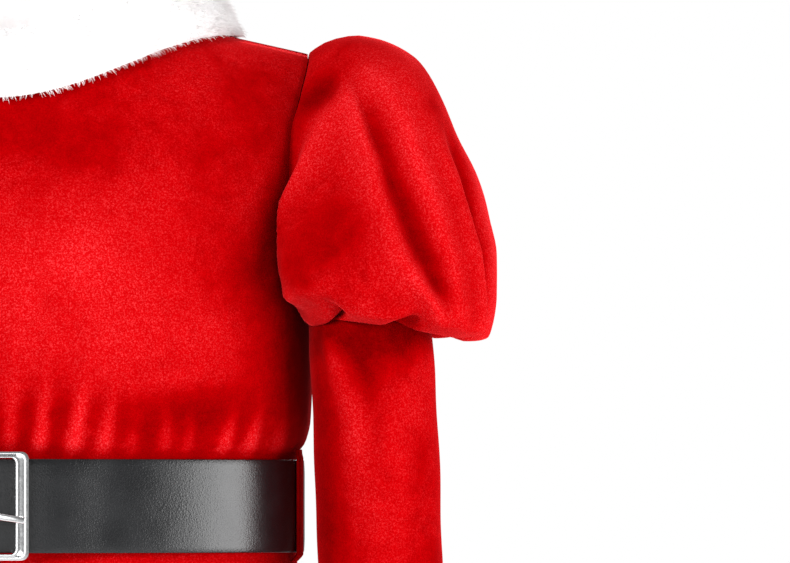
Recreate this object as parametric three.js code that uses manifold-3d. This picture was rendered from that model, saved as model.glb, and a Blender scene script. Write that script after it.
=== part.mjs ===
// Christmas costume dress: red stretch velvet with a fur collar, puffed long sleeves and a black belt.
// Millimetres, +Z up, the front faces -Y and the wearer's left is +X. The origin lies midway between
// the shoulders, at the height where the dress rests on them. Cloth is a closed wall built on sections
// of a general figure. A turn is an angle round a section: 0 at the front and 90 at the outer side.
import * as THREE from 'three';
import Module from 'manifold-3d';

const manifold = await Module();
manifold.setup();

// ---- Driving dimensions ----
const CLOTH = 1.5;
const SEAM = 0.3;
const SEAM_PLANE_Y = 8;
const ROUNDNESS = 2.3;

const SHOULDER_HALF = 218.5;
const SHOULDER_DROP = -11;
const SHOULDER_ROUND = 70;
const NECK_SEAM_HALF = 160;
const NECK_SEAM_SIDE_Z = 2.6;
const NECK_SEAM_FRONT_Z = -36;
const NECK_SEAM_BACK_Z = -4;
const UNDERARM_Z = -160;
const WAIST_SEAM_Z = -320;
const HEM_Z = -820;
const UNDER_BELT_SHARE = 0.3;

const BELT_TOP_Z = -290;
const BELT_WIDTH = 63;
const BELT_THICKNESS = 3.2;
const BELT_EASE = 2.4;
const BELT_BUCKLE_LIFT = 4.9;
const BELT_TAIL_TURN = 34;

const COLLAR_HALF = 168;
const COLLAR_FRONT_DROP = 48;
const COLLAR_BACK_DROP = 12;
const COLLAR_HEIGHT = 48;
const COLLAR_PILE = 15;
const COLLAR_SIDE_PILE = 5;
const COLLAR_EASE = 1;

const BUCKLE = { width: 52, height: 72.6, sideBar: 9, endBar: 4.2, corner: 5, thick: 4, rod: 2 };

const RED_VELVET = { color: 0xc80a12, roughness: 0.75, metalness: 0 };
const WHITE_FUR = { color: 0xf6f4f2, roughness: 0.95, metalness: 0 };
const BLACK_LEATHER = { color: 0x26282b, roughness: 0.4, metalness: 0 };
const SILVER = { color: 0xc9ccce, roughness: 0.2, metalness: 1 };

// Half sizes of the dress at each height, outside the cloth.
const TORSO = [
  { z: -820, halfWidth: 292, front: 205, back: 212 },
  { z: -650, halfWidth: 264, front: 175, back: 180 },
  { z: -500, halfWidth: 238, front: 148, back: 150 },
  { z: -400, halfWidth: 220, front: 130, back: 128 },
  { z: -357, halfWidth: 210, front: 120, back: 116 },
  { z: -288, halfWidth: 210, front: 120, back: 116 },
  { z: -277, halfWidth: 216.5, front: 124.5, back: 120 },
  { z: -262, halfWidth: 220.5, front: 129, back: 123 },
  { z: -235, halfWidth: 221.5, front: 134, back: 124 },
  { z: -195, halfWidth: 221, front: 138, back: 123 },
  { z: -160, halfWidth: 222, front: 137, back: 121 },
  { z: -110, halfWidth: 228, front: 126, back: 116 },
  { z: -60, halfWidth: 236, front: 106, back: 102 },
  { z: -20, halfWidth: 240, front: 88, back: 84 },
  { z: 40, halfWidth: 244, front: 66, back: 62 },
];

// Where the armhole runs, as the half width of the bodice's panels above the underarm.
const ARMHOLE = [
  { z: -160, half: 222 },
  { z: -146, half: 215 },
  { z: -128, half: 209 },
  { z: -97, half: 203 },
  { z: -70, half: 204 },
  { z: -42, half: 211 },
  { z: -11, half: 218.5 },
  { z: 30, half: 221 },
];

// Waist gathers: place at the belt, outward lean going up, reach above the belt, height and half width.
const FRONT_GATHERS = [
  { at: -205, lean: -0.3, reach: 34, rise: 2.2, half: 4.6 },
  { at: -188, lean: -0.34, reach: 52, rise: 3.2, half: 4.8 },
  { at: -168, lean: -0.3, reach: 64, rise: 4.2, half: 4.8 },
  { at: -151, lean: -0.27, reach: 58, rise: 3.6, half: 4.6 },
  { at: -133, lean: -0.14, reach: 66, rise: 3.2, half: 5 },
  { at: -114, lean: -0.08, reach: 74, rise: 3.4, half: 5.2 },
  { at: -91, lean: -0.12, reach: 82, rise: 3, half: 5 },
  { at: -71, lean: -0.19, reach: 92, rise: 4, half: 5 },
  { at: -51, lean: -0.17, reach: 122, rise: 4.4, half: 5.4 },
  { at: -30, lean: -0.1, reach: 116, rise: 4, half: 5.2 },
  { at: -10, lean: 0, reach: 150, rise: 3, half: 5.2 },
  { at: 13, lean: 0.02, reach: 165, rise: 3.2, half: 5 },
  { at: 32, lean: 0.1, reach: 128, rise: 4.2, half: 5 },
  { at: 54, lean: 0.17, reach: 124, rise: 4.6, half: 5.2 },
  { at: 74, lean: 0.19, reach: 86, rise: 4, half: 4.8 },
  { at: 93, lean: 0.14, reach: 72, rise: 2.6, half: 5 },
  { at: 116, lean: 0.06, reach: 70, rise: 3.2, half: 5 },
  { at: 131, lean: 0.14, reach: 60, rise: 3, half: 4.6 },
  { at: 154, lean: 0.28, reach: 64, rise: 4.2, half: 4.8 },
  { at: 171, lean: 0.3, reach: 60, rise: 4.2, half: 4.6 },
  { at: 191, lean: 0.35, reach: 44, rise: 3, half: 4.8 },
];
const BACK_GATHERS = [
  { at: -190, lean: -0.3, reach: 50, rise: 2.8, half: 6 },
  { at: -158, lean: -0.26, reach: 66, rise: 3.6, half: 6 },
  { at: -127, lean: -0.18, reach: 84, rise: 3.2, half: 6 },
  { at: -98, lean: -0.16, reach: 76, rise: 3.8, half: 6 },
  { at: -68, lean: -0.1, reach: 108, rise: 4, half: 6 },
  { at: -39, lean: -0.06, reach: 122, rise: 3.4, half: 6 },
  { at: -9, lean: -0.02, reach: 134, rise: 4, half: 6 },
  { at: 21, lean: 0.04, reach: 126, rise: 3.6, half: 6 },
  { at: 50, lean: 0.1, reach: 104, rise: 4, half: 6 },
  { at: 82, lean: 0.12, reach: 90, rise: 3.4, half: 6 },
  { at: 111, lean: 0.18, reach: 72, rise: 3.6, half: 6 },
  { at: 143, lean: 0.22, reach: 80, rise: 3.2, half: 6 },
  { at: 177, lean: 0.3, reach: 54, rise: 3, half: 6 },
];

// Skirt flutes of one panel, from side seam to side seam.
const FLUTES = [
  { turn: -78, rise: 18, half: 5 },
  { turn: -60, rise: 30, half: 5.5 },
  { turn: -41, rise: 22, half: 5 },
  { turn: -22, rise: 32, half: 6 },
  { turn: -1, rise: 24, half: 5.5 },
  { turn: 20, rise: 31, half: 5.5 },
  { turn: 39, rise: 24, half: 5 },
  { turn: 59, rise: 30, half: 5.5 },
  { turn: 77, rise: 18, half: 5 },
];
const FLUTE_START_Z = BELT_TOP_Z - BELT_WIDTH - 7;
const SKIRT_LEVELS = [HEM_Z, -700, -580, -480, -410, FLUTE_START_Z, WAIST_SEAM_Z - SEAM];

// Rings of the left puff from its lower seam (share 0) to the armhole (share 1). The inner and outer
// ends of a ring are its lowest and highest points, and halfDepth is its reach to the front and back.
const PUFF_RINGS = [
  { share: 0, innerX: 216.3, innerZ: -195.7, outerX: 299.7, outerZ: -195.7, y: -44, halfDepth: 52.4 },
  { share: 0.07, innerX: 214, innerZ: -193, outerX: 320, outerZ: -209, y: -41, halfDepth: 66 },
  { share: 0.15, innerX: 208, innerZ: -190, outerX: 335, outerZ: -206, y: -35, halfDepth: 84 },
  { share: 0.24, innerX: 202, innerZ: -187, outerX: 341, outerZ: -180, y: -28, halfDepth: 96 },
  { share: 0.33, innerX: 199, innerZ: -184, outerX: 341.5, outerZ: -151, y: -22, halfDepth: 102 },
  { share: 0.42, innerX: 197, innerZ: -181, outerX: 337, outerZ: -125, y: -16, halfDepth: 106 },
  { share: 0.51, innerX: 196, innerZ: -178, outerX: 329.5, outerZ: -97, y: -10, halfDepth: 107 },
  { share: 0.6, innerX: 195, innerZ: -175, outerX: 319, outerZ: -70, y: -6, halfDepth: 106 },
  { share: 0.69, innerX: 196, innerZ: -172, outerX: 308.5, outerZ: -41.5, y: -3, halfDepth: 101 },
  { share: 0.78, innerX: 198, innerZ: -169, outerX: 290, outerZ: -14, y: 1, halfDepth: 93 },
  { share: 0.87, innerX: 202, innerZ: -166, outerX: 264, outerZ: -0.5, y: 4, halfDepth: 80 },
  { share: 0.94, innerX: 210, innerZ: -163, outerX: 239, outerZ: 2.6, y: 6, halfDepth: 68 },
  { share: 1, innerX: 222, innerZ: -160, outerX: 218.5, outerZ: -11, y: 8, halfDepth: 60 },
];
const PUFF_SQUARE = 0.8;
const PUFF_HEAD_ROLL = 9;
// How far the puff hangs over the bodice's front and back beside the armhole.
const PUFF_OVERHANGS = [
  { turn: -28, reach: 19, half: 30 },
  { turn: 208, reach: 13, half: 30 },
];
const PUFF_CLEAR = 2.6;

// Long folds of the left puff: turn half way up, how far it swings at the foot and at the head, height,
// half width and span.
const PUFF_FOLDS = [
  { turn: -63, foot: 0, head: 10, rise: 4, half: 6, from: 0.2, to: 0.62 },
  { turn: -36, foot: 0, head: 0, rise: -3, half: 8, from: 0.3, to: 0.8 },
  { turn: 6.5, foot: 32, head: 38, rise: 6.5, half: 5, from: 0.12, to: 1 },
  { turn: 15.5, foot: 33, head: 28, rise: -8, half: 5, from: 0.18, to: 0.92 },
  { turn: 25, foot: 26, head: 34, rise: 5.5, half: 6.5, from: 0.1, to: 0.95 },
  { turn: 50, foot: 30, head: 20, rise: 5, half: 5.5, from: 0.08, to: 0.72 },
  { turn: 59, foot: 35, head: 30, rise: -10, half: 5.5, from: 0.02, to: 0.68 },
  { turn: 99, foot: 0, head: 0, rise: 6, half: 11, from: 0, to: 0.7 },
  { turn: 132, foot: 0, head: -12, rise: -7, half: 8, from: 0.12, to: 0.9 },
  { turn: 150, foot: 0, head: -22, rise: 6, half: 9, from: 0.1, to: 0.95 },
  { turn: 172, foot: 0, head: -30, rise: -6, half: 8, from: 0.2, to: 0.85 },
  { turn: 198, foot: 0, head: -26, rise: 5, half: 9, from: 0.15, to: 0.9 },
];
const PUFF_FOLD_MIDDLE = 0.5;
const PUFF_FOLD_HEAD = 0.92;
// Creases between the lobes of the puff's lower edge: inward depth, lift, half width and height.
const PUFF_CREASES = [
  { turn: -44, depth: 10, lift: 12, half: 7, top: 0.34 },
  { turn: -64, depth: 4, lift: 4, half: 5, top: 0.22 },
  { turn: -82, depth: 2, lift: 1, half: 5, top: 0.2 },
  { turn: -104, depth: 2, lift: 1, half: 5, top: 0.2 },
  { turn: 9, depth: 11, lift: 16, half: 6, top: 0.28 },
  { turn: 80, depth: 12, lift: 17, half: 6, top: 0.3 },
  { turn: 117, depth: 11, lift: 15, half: 6.5, top: 0.28 },
  { turn: 153, depth: 10, lift: 16, half: 6.5, top: 0.3 },
  { turn: 188, depth: 8, lift: 10, half: 6.5, top: 0.27 },
  { turn: 228, depth: 2, lift: 1.5, half: 6, top: 0.22 },
];
// The deep pucker beside the sleeve head.
const PUFF_PUCKER = { turn: 31, share: 0.925, depth: 10, half: 10, span: 0.035 };
// The puff's columns crowd towards this turn, where its narrow folds are.
const PUFF_CROWDED = { turn: 22, shift: 15 };

// Left long sleeve from the puff's seam to the cuff.
const SLEEVE = [
  { z: -196, x: 258, y: -44, halfWidth: 41.6, halfDepth: 52 },
  { z: -235, x: 260.4, y: -44, halfWidth: 42.4, halfDepth: 51.5 },
  { z: -269, x: 261.8, y: -44.5, halfWidth: 42.5, halfDepth: 51 },
  { z: -345, x: 264.3, y: -46, halfWidth: 42, halfDepth: 49 },
  { z: -430, x: 270, y: -56, halfWidth: 40.5, halfDepth: 45 },
  { z: -520, x: 280, y: -73, halfWidth: 36, halfDepth: 39 },
  { z: -590, x: 289, y: -89, halfWidth: 33.5, halfDepth: 36 },
];
const SLEEVE_FOLDS = [
  { turnTop: -47, turnFoot: -14, topZ: -198, footZ: -310, rise: 4.6, half: 7.5 },
  { turnTop: -24, turnFoot: 6, topZ: -198, footZ: -290, rise: -4, half: 8 },
  { turnTop: 24, turnFoot: 30, topZ: -198, footZ: -250, rise: -4, half: 8 },
  { turnTop: 2, turnFoot: 26, topZ: -236, footZ: -335, rise: 3.4, half: 10 },
  { turnTop: 118, turnFoot: 150, topZ: -198, footZ: -300, rise: 3, half: 10 },
  { turnTop: 165, turnFoot: 190, topZ: -230, footZ: -350, rise: 2.4, half: 11 },
  { turnTop: 235, turnFoot: 215, topZ: -330, footZ: -470, rise: 2.4, half: 11 },
  { turnTop: -60, turnFoot: -20, topZ: -330, footZ: -440, rise: 2.4, half: 10 },
];

// ---- Small tools ----
const radians = (degrees) => (degrees * Math.PI) / 180;
const clamp01 = (value) => Math.min(1, Math.max(0, value));
const ease = (value) => {
  const share = clamp01(value);
  return share * share * (3 - 2 * share);
};
const hump = (distance, half) => Math.exp(-0.5 * (distance / half) ** 2);
const signedPower = (value, power) => Math.sign(value) * Math.abs(value) ** power;
const turnGap = (from, to) => ((((from - to) % 360) + 540) % 360) - 180;

// The slope at a table's row, level where its column turns back or stays flat.
function tableSlope(table, key, row, column) {
  if (row === 0 || row === table.length - 1) return 0;
  const steepness = (low) => {
    const high = low + 1;
    return (table[high][column] - table[low][column]) / (table[high][key] - table[low][key]);
  };
  const before = steepness(row - 1);
  const after = steepness(row);
  return before * after > 0 ? (2 * before * after) / (before + after) : 0;
}

// A smooth value from a table's column, at a place in its key column, which rises or falls throughout.
function readTable(table, key, place, column) {
  const rising = table[table.length - 1][key] > table[0][key] ? 1 : -1;
  let row = 0;
  while (row < table.length - 2 && rising * (place - table[row + 1][key]) > 0) row += 1;
  const from = table[row];
  const to = table[row + 1];
  const span = to[key] - from[key];
  const share = clamp01((place - from[key]) / span);
  const square = share * share;
  const cube = square * share;
  return (
    (2 * cube - 3 * square + 1) * from[column] +
    (cube - 2 * square + share) * span * tableSlope(table, key, row, column) +
    (3 * square - 2 * cube) * to[column] +
    (cube - square) * span * tableSlope(table, key, row + 1, column)
  );
}

// Turns a grid of points, outside faces out, into a wall. pins names the axis that an edge's
// thickness must not lean along, so that neighbouring seams stay parallel.
function wallGeometry(pointAt, columns, rows, { closed = false, thick = CLOTH, pin = () => null } = {}) {
  const across = closed ? columns : columns + 1;
  const outer = [];
  for (let row = 0; row <= rows; row += 1) {
    for (let column = 0; column < across; column += 1) {
      outer.push(pointAt(column / columns, row / rows, column, row));
    }
  }
  const at = (column, row) => {
    const wrapped = closed ? (column + across) % across : Math.min(Math.max(column, 0), across - 1);
    return outer[Math.min(Math.max(row, 0), rows) * across + wrapped];
  };
  const inner = [];
  for (let row = 0; row <= rows; row += 1) {
    for (let column = 0; column < across; column += 1) {
      const along = at(column + 1, row).clone().sub(at(column - 1, row));
      const up = at(column, row + 1).clone().sub(at(column, row - 1));
      const normal = along.cross(up).normalize();
      const pinned = pin(column, row);
      if (pinned) {
        normal[pinned] = 0;
        normal.normalize();
      }
      inner.push(at(column, row).clone().addScaledVector(normal, -thick));
    }
  }
  const index = [];
  const shift = outer.length;
  const quad = (a, b, c, d) => index.push(a, b, c, a, c, d);
  const id = (column, row) => row * across + (closed ? column % across : column);
  for (let row = 0; row < rows; row += 1) {
    for (let column = 0; column < columns; column += 1) {
      const a = id(column, row);
      const b = id(column + 1, row);
      const c = id(column + 1, row + 1);
      const d = id(column, row + 1);
      quad(a, b, c, d);
      quad(shift + a, shift + d, shift + c, shift + b);
    }
  }
  for (let column = 0; column < columns; column += 1) {
    const low = [id(column, 0), id(column + 1, 0)];
    const high = [id(column, rows), id(column + 1, rows)];
    quad(low[0], shift + low[0], shift + low[1], low[1]);
    quad(high[1], shift + high[1], shift + high[0], high[0]);
  }
  if (!closed) {
    for (let row = 0; row < rows; row += 1) {
      const left = [id(0, row), id(0, row + 1)];
      const right = [id(columns, row), id(columns, row + 1)];
      quad(left[1], shift + left[1], shift + left[0], left[0]);
      quad(right[0], shift + right[0], shift + right[1], right[1]);
    }
  }
  return indexedGeometry([...outer, ...inner], index);
}

// A band along a path, with a closed section of outside points going up and inside points coming down.
function bandGeometry(pointAt, steps, section) {
  const points = [];
  const index = [];
  for (let step = 0; step <= steps; step += 1) {
    for (let side = 0; side < section; side += 1) points.push(pointAt(step / steps, side));
  }
  const quad = (a, b, c, d) => index.push(a, b, c, a, c, d);
  for (let step = 0; step < steps; step += 1) {
    for (let side = 0; side < section; side += 1) {
      const turned = (side + 1) % section;
      const low = step * section;
      quad(low + side, low + section + side, low + section + turned, low + turned);
    }
  }
  const last = steps * section;
  for (let side = 0; side < section / 2 - 1; side += 1) {
    const across = section - 1 - side;
    quad(side, side + 1, across - 1, across);
    quad(last + across, last + across - 1, last + side + 1, last + side);
  }
  return indexedGeometry(points, index);
}

function indexedGeometry(points, index) {
  const geometry = new THREE.BufferGeometry();
  const places = points.flatMap((point) => [point.x, point.y, point.z]);
  geometry.setAttribute('position', new THREE.Float32BufferAttribute(places, 3));
  geometry.setIndex(index);
  geometry.computeVertexNormals();
  return geometry;
}

function mirrorToRight(geometry) {
  const mirrored = geometry.clone();
  const position = mirrored.getAttribute('position');
  for (let point = 0; point < position.count; point += 1) position.setX(point, -position.getX(point));
  const index = mirrored.getIndex();
  for (let corner = 0; corner < index.count; corner += 3) {
    const first = index.getX(corner);
    index.setX(corner, index.getX(corner + 1));
    index.setX(corner + 1, first);
  }
  mirrored.computeVertexNormals();
  return mirrored;
}

// ---- The figure under the dress ----
const FRONT = {
  depth: 'front',
  sign: -1,
  neckZ: NECK_SEAM_FRONT_Z,
  collarDrop: COLLAR_FRONT_DROP,
  collarLean: 0.2,
};
const BACK = {
  depth: 'back',
  sign: 1,
  neckZ: NECK_SEAM_BACK_Z,
  collarDrop: COLLAR_BACK_DROP,
  collarLean: 0.02,
};

function shoulderLine(x) {
  const beyondNeck = Math.abs(x) - COLLAR_HALF;
  const slope = beyondNeck > 0 ? SHOULDER_DROP / (SHOULDER_HALF - COLLAR_HALF) : -0.33;
  return beyondNeck * slope;
}

function sideDepth(side, x, z) {
  const halfWidth = readTable(TORSO, 'z', z, 'halfWidth');
  const depth = readTable(TORSO, 'z', z, side.depth);
  const section = (1 - Math.min(1, Math.abs(x) / halfWidth) ** ROUNDNESS) ** (1 / ROUNDNESS);
  const below = clamp01((shoulderLine(x) - z) / SHOULDER_ROUND);
  const roundOver = z > UNDERARM_Z ? Math.sqrt(1 - (1 - below) ** 2) : 1;
  return side.sign * (SEAM / 2 + depth * section * roundOver);
}

// A point of the dress at a turn and height, moved out by a lift.
function waistPoint(turn, z, lift) {
  const front = Math.cos(radians(turn)) >= 0;
  const reach = (degrees) => {
    const sine = signedPower(Math.sin(radians(degrees)), 2 / ROUNDNESS);
    const cosine = signedPower(Math.cos(radians(degrees)), 2 / ROUNDNESS);
    return new THREE.Vector3(
      sine * readTable(TORSO, 'z', z, 'halfWidth'),
      SEAM_PLANE_Y - cosine * readTable(TORSO, 'z', z, front ? 'front' : 'back'),
      z,
    );
  };
  const along = reach(turn + 0.5).sub(reach(turn - 0.5));
  const outward = new THREE.Vector3(-along.y, along.x, 0).normalize().negate();
  return reach(turn).addScaledVector(outward, lift);
}

// ---- Bodice ----
const BODICE_LEVELS = [0, 0.0971, 0.13, 0.2, 0.32, 0.5178, 0.64, 0.76, 0.86, 0.93, 0.98, 1];
const ARMHOLE_FIRST_LEVEL = 5;

function bodiceTop(side, share) {
  const x = Math.abs(share) * SHOULDER_HALF;
  if (x >= NECK_SEAM_HALF) return shoulderLine(x) - SEAM / 4;
  return side.neckZ + (NECK_SEAM_SIDE_Z - side.neckZ) * ease(x / NECK_SEAM_HALF);
}

function gatherRise(gathers, x, z) {
  const above = z - BELT_TOP_Z;
  const pressed = UNDER_BELT_SHARE + (1 - UNDER_BELT_SHARE) * ease((above - 1) / 9);
  const toSeam = ease((z - WAIST_SEAM_Z) / (BELT_TOP_Z - WAIST_SEAM_Z));
  return gathers.reduce((sum, gather) => {
    const place = gather.at + gather.lean * Math.max(above, 0);
    const fading = 1 - ease(above / gather.reach);
    return sum + gather.rise * pressed * toSeam * fading * hump(x - place, gather.half);
  }, 0);
}

function bodicePoint(side, gathers, across, level) {
  const share = Math.sin(radians(90 * across));
  const z = WAIST_SEAM_Z + (bodiceTop(side, share) - WAIST_SEAM_Z) * level;
  const halfWidth = readTable(TORSO, 'z', z, 'halfWidth');
  const depth = readTable(TORSO, 'z', z, side.depth);
  const x = share * (z > UNDERARM_Z ? readTable(ARMHOLE, 'z', z, 'half') : halfWidth);
  const y = sideDepth(side, x, z);
  const sideways = (Math.abs(x) / halfWidth) ** (ROUNDNESS - 1) / halfWidth;
  const onwards = (Math.abs(y) / depth) ** (ROUNDNESS - 1) / depth;
  const outward = new THREE.Vector3(Math.sign(x) * sideways, side.sign * onwards, 0).normalize();
  const rise = gatherRise(gathers, x, z) * ease((1 - Math.abs(share)) / 0.03);
  return new THREE.Vector3(x, SEAM_PLANE_Y + y, z).addScaledVector(outward, rise);
}

function bodiceGeometry(side, gathers, columns) {
  const rows = BODICE_LEVELS.length - 1;
  const pointAt = (u, v, column, row) =>
    bodicePoint(side, gathers, (2 * u - 1) * -side.sign, BODICE_LEVELS[row]);
  const pin = (column, row) => {
    const atSide = column === 0 || column === columns;
    if (atSide && row <= ARMHOLE_FIRST_LEVEL) return 'y';
    if (row === 0) return 'z';
    const x = Math.abs(pointAt(column / columns, 1, column, row).x);
    return row === rows && x > NECK_SEAM_HALF - 6 ? 'y' : null;
  };
  return wallGeometry(pointAt, columns, rows, { pin });
}

// ---- Skirt ----
function skirtGeometry(side, columns) {
  const rows = SKIRT_LEVELS.length - 1;
  const pointAt = (u, v, column, row) => {
    const turn = (2 * u - 1) * 90 * -side.sign;
    const z = SKIRT_LEVELS[row];
    const open = ease(clamp01((FLUTE_START_Z - z) / (FLUTE_START_Z - HEM_Z)) ** 0.8);
    const flutes = FLUTES.reduce((sum, flute) => sum + flute.rise * hump(turn - flute.turn, flute.half), 0);
    const halfWidth = readTable(TORSO, 'z', z, 'halfWidth');
    const depth = readTable(TORSO, 'z', z, side.depth);
    const sine = signedPower(Math.sin(radians(turn)), 2 / ROUNDNESS);
    const cosine = Math.abs(Math.cos(radians(turn))) ** (2 / ROUNDNESS);
    const nearSeam = ease((90 - Math.abs(turn)) / 6);
    const reach = (open * flutes * nearSeam) / Math.hypot(halfWidth, depth);
    return new THREE.Vector3(
      sine * halfWidth * (1 + reach),
      SEAM_PLANE_Y + side.sign * (SEAM / 2 + cosine * depth * (1 + reach)),
      z,
    );
  };
  const pin = (column, row) => {
    if (column === 0 || column === columns) return 'y';
    return row === rows ? 'z' : null;
  };
  return wallGeometry(pointAt, columns, rows, { pin });
}

// ---- Collar ----
function collarEdge(side, turn) {
  const x = COLLAR_HALF * Math.sin(radians(turn));
  const drop = side.collarDrop * (1 - ease(Math.abs(x) / COLLAR_HALF) ** 1.15);
  return new THREE.Vector3(x, SEAM_PLANE_Y + sideDepth(side, x, -drop), 1 - drop);
}

// Half of the collar, from one shoulder seam to the other.
function collarGeometry(side, firstTurn) {
  const heights = [0, 0.12, 0.35, 0.6, 0.84, 0.97];
  const steps = 24;
  const pointAt = (share, step) => {
    const turn = firstTurn + 180 * share;
    const sine = Math.sin(radians(turn));
    const cosine = Math.cos(radians(turn));
    const outward = new THREE.Vector3(sine, -cosine, 0).normalize();
    const upward = new THREE.Vector3(-0.5 * sine, side.collarLean * cosine, 0.92).normalize();
    const onOutside = step < heights.length;
    const height = onOutside ? heights[step] : heights[2 * heights.length - 1 - step];
    const crown = Math.sin(Math.PI * Math.min(0.93, height + 0.07)) ** 0.5;
    const longest = COLLAR_SIDE_PILE + (COLLAR_PILE - COLLAR_SIDE_PILE) * cosine * cosine;
    const pile = onOutside ? longest * (0.15 + 0.85 * crown) : 0;
    return collarEdge(side, turn)
      .addScaledVector(upward, height * COLLAR_HEIGHT)
      .addScaledVector(outward, COLLAR_EASE + pile);
  };
  return bandGeometry(pointAt, steps, 2 * heights.length);
}

// ---- Puffed sleeve ----
function armholeEdge(side, gathers) {
  return BODICE_LEVELS.slice(ARMHOLE_FIRST_LEVEL).map((level) => bodicePoint(side, gathers, 1, level));
}

// The armhole's point at a turn: 90 is the shoulder point, -90 the underarm.
function armholePoint(edges, turn) {
  const edge = Math.cos(radians(turn)) >= 0 ? edges.front : edges.back;
  const low = edge[0].z;
  const high = edge[edge.length - 1].z;
  const z = (low + high) / 2 + ((high - low) / 2) * Math.sin(radians(turn));
  let row = 0;
  while (row < edge.length - 2 && edge[row + 1].z < z) row += 1;
  return edge[row].clone().lerp(edge[row + 1], clamp01((z - edge[row].z) / (edge[row + 1].z - edge[row].z)));
}

// Moves a point sideways, away from the dress's middle, until it clears the bodice. Above the
// underarm the bodice ends at the armhole.
function clearOfBodice(point, clearance) {
  const side = point.y < SEAM_PLANE_Y ? FRONT : BACK;
  const halfWidth = readTable(TORSO, 'z', point.z, 'halfWidth');
  const depth = readTable(TORSO, 'z', point.z, side.depth) + clearance;
  const half = point.z > UNDERARM_Z ? readTable(ARMHOLE, 'z', point.z, 'half') : halfWidth;
  const y = point.y - SEAM_PLANE_Y;
  const sideways = Math.abs(point.x / (halfWidth + clearance)) ** ROUNDNESS;
  const onwards = Math.abs(y / depth) ** ROUNDNESS;
  const reach = Math.max((sideways + onwards) ** (1 / ROUNDNESS), Math.abs(point.x) / (half + clearance));
  if (reach >= 1) return point;
  return new THREE.Vector3(point.x / reach, SEAM_PLANE_Y + y / reach, point.z);
}

function puffFoldRise(turn, share) {
  return PUFF_FOLDS.reduce((sum, fold) => {
    const toFoot = clamp01(1 - share / PUFF_FOLD_MIDDLE) ** 2;
    const toHead = clamp01((share - PUFF_FOLD_MIDDLE) / (PUFF_FOLD_HEAD - PUFF_FOLD_MIDDLE)) ** 5;
    const place = fold.turn + fold.foot * toFoot + fold.head * toHead;
    const span = ease((share - fold.from) / 0.12) * (1 - ease((share - fold.to + 0.2) / 0.2));
    return sum + fold.rise * span * hump(turnGap(turn, place), fold.half);
  }, 0);
}

function puffPoint(edges, turn, share) {
  const read = (column) => readTable(PUFF_RINGS, 'share', share, column);
  const inner = new THREE.Vector3(read('innerX'), read('y'), read('innerZ'));
  const outer = new THREE.Vector3(read('outerX'), read('y'), read('outerZ'));
  const middle = inner.clone().add(outer).multiplyScalar(0.5);
  const half = outer.clone().sub(inner).multiplyScalar(0.5);
  const square = 1 - (1 - PUFF_SQUARE) * ease(share / 0.2) * (1 - ease((share - 0.85) / 0.15));
  const sine = signedPower(Math.sin(radians(turn)), square);
  const cosine = signedPower(Math.cos(radians(turn)), square);
  const point = middle.clone().addScaledVector(half, sine);
  point.y -= read('halfDepth') * cosine;

  const outward = point.clone().sub(middle).normalize();
  const puckerTurn = hump(turnGap(turn, PUFF_PUCKER.turn), PUFF_PUCKER.half);
  const pucker = puckerTurn * hump(share - PUFF_PUCKER.share, PUFF_PUCKER.span);
  point.addScaledVector(outward, puffFoldRise(turn, share) - PUFF_PUCKER.depth * pucker);
  PUFF_CREASES.forEach((crease) => {
    const near = hump(turnGap(turn, crease.turn), crease.half);
    const span = ease(share / 0.1) * (1 - ease(share / crease.top));
    point.addScaledVector(outward, -crease.depth * near * span);
    point.z += crease.lift * near * span * 0.9;
  });
  point.x -= PUFF_HEAD_ROLL * hump(share - 0.9, 0.06) * Math.max(0, Math.cos(radians(turn + 20)));
  const hanging = ease((share - 0.08) / 0.22) * (1 - ease((share - 0.86) / 0.14));
  PUFF_OVERHANGS.forEach((overhang) => {
    point.x -= overhang.reach * hanging * hump(turnGap(turn, overhang.turn), overhang.half);
  });

  const atArmhole = ease((share - 0.9) / 0.1);
  point.lerp(armholePoint(edges, turn).add(new THREE.Vector3(SEAM * 2, 0, 0)), atArmhole);
  const clearance = PUFF_CLEAR * (1 - atArmhole);
  return clearOfBodice(point, clearance);
}

function puffGeometry(columns, rows) {
  const edges = { front: armholeEdge(FRONT, FRONT_GATHERS), back: armholeEdge(BACK, BACK_GATHERS) };
  const { turn, shift } = PUFF_CROWDED;
  const pointAt = (u, v) => puffPoint(edges, turn + 360 * u - shift * Math.sin(2 * Math.PI * u), v);
  return wallGeometry(pointAt, columns, rows, { closed: true });
}

// ---- Long sleeve ----
function sleevePoint(turn, z) {
  const read = (column, place = z) => readTable(SLEEVE, 'z', place, column);
  const step = 4;
  const tangent = new THREE.Vector3(
    read('x', z + step) - read('x', z - step),
    read('y', z + step) - read('y', z - step),
    2 * step,
  ).normalize();
  const across = new THREE.Vector3(1, 0, 0).addScaledVector(tangent, -tangent.x).normalize();
  const forward = across.clone().cross(tangent);
  const fold = SLEEVE_FOLDS.reduce((sum, row) => {
    const share = (row.topZ - z) / (row.topZ - row.footZ);
    const place = row.turnTop + (row.turnFoot - row.turnTop) * clamp01(share);
    const span = row.topZ > SLEEVE[0].z - 10 ? ease(share / 0.12) : Math.sin(Math.PI * clamp01(share));
    return sum + row.rise * span * (1 - ease(share)) * hump(turnGap(turn, place), row.half);
  }, 0);
  return new THREE.Vector3(read('x'), read('y'), z)
    .addScaledVector(across, Math.sin(radians(turn)) * (read('halfWidth') + fold))
    .addScaledVector(forward, Math.cos(radians(turn)) * (read('halfDepth') + fold));
}

function sleeveGeometry(columns, rows) {
  const topZ = SLEEVE[0].z - SEAM;
  const cuffZ = SLEEVE[SLEEVE.length - 1].z;
  const pin = (column, row) => (row === rows ? 'z' : null);
  const pointAt = (u, v) => sleevePoint(360 * u, cuffZ + (topZ - cuffZ) * v);
  return wallGeometry(pointAt, columns, rows, { closed: true, pin });
}

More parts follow.
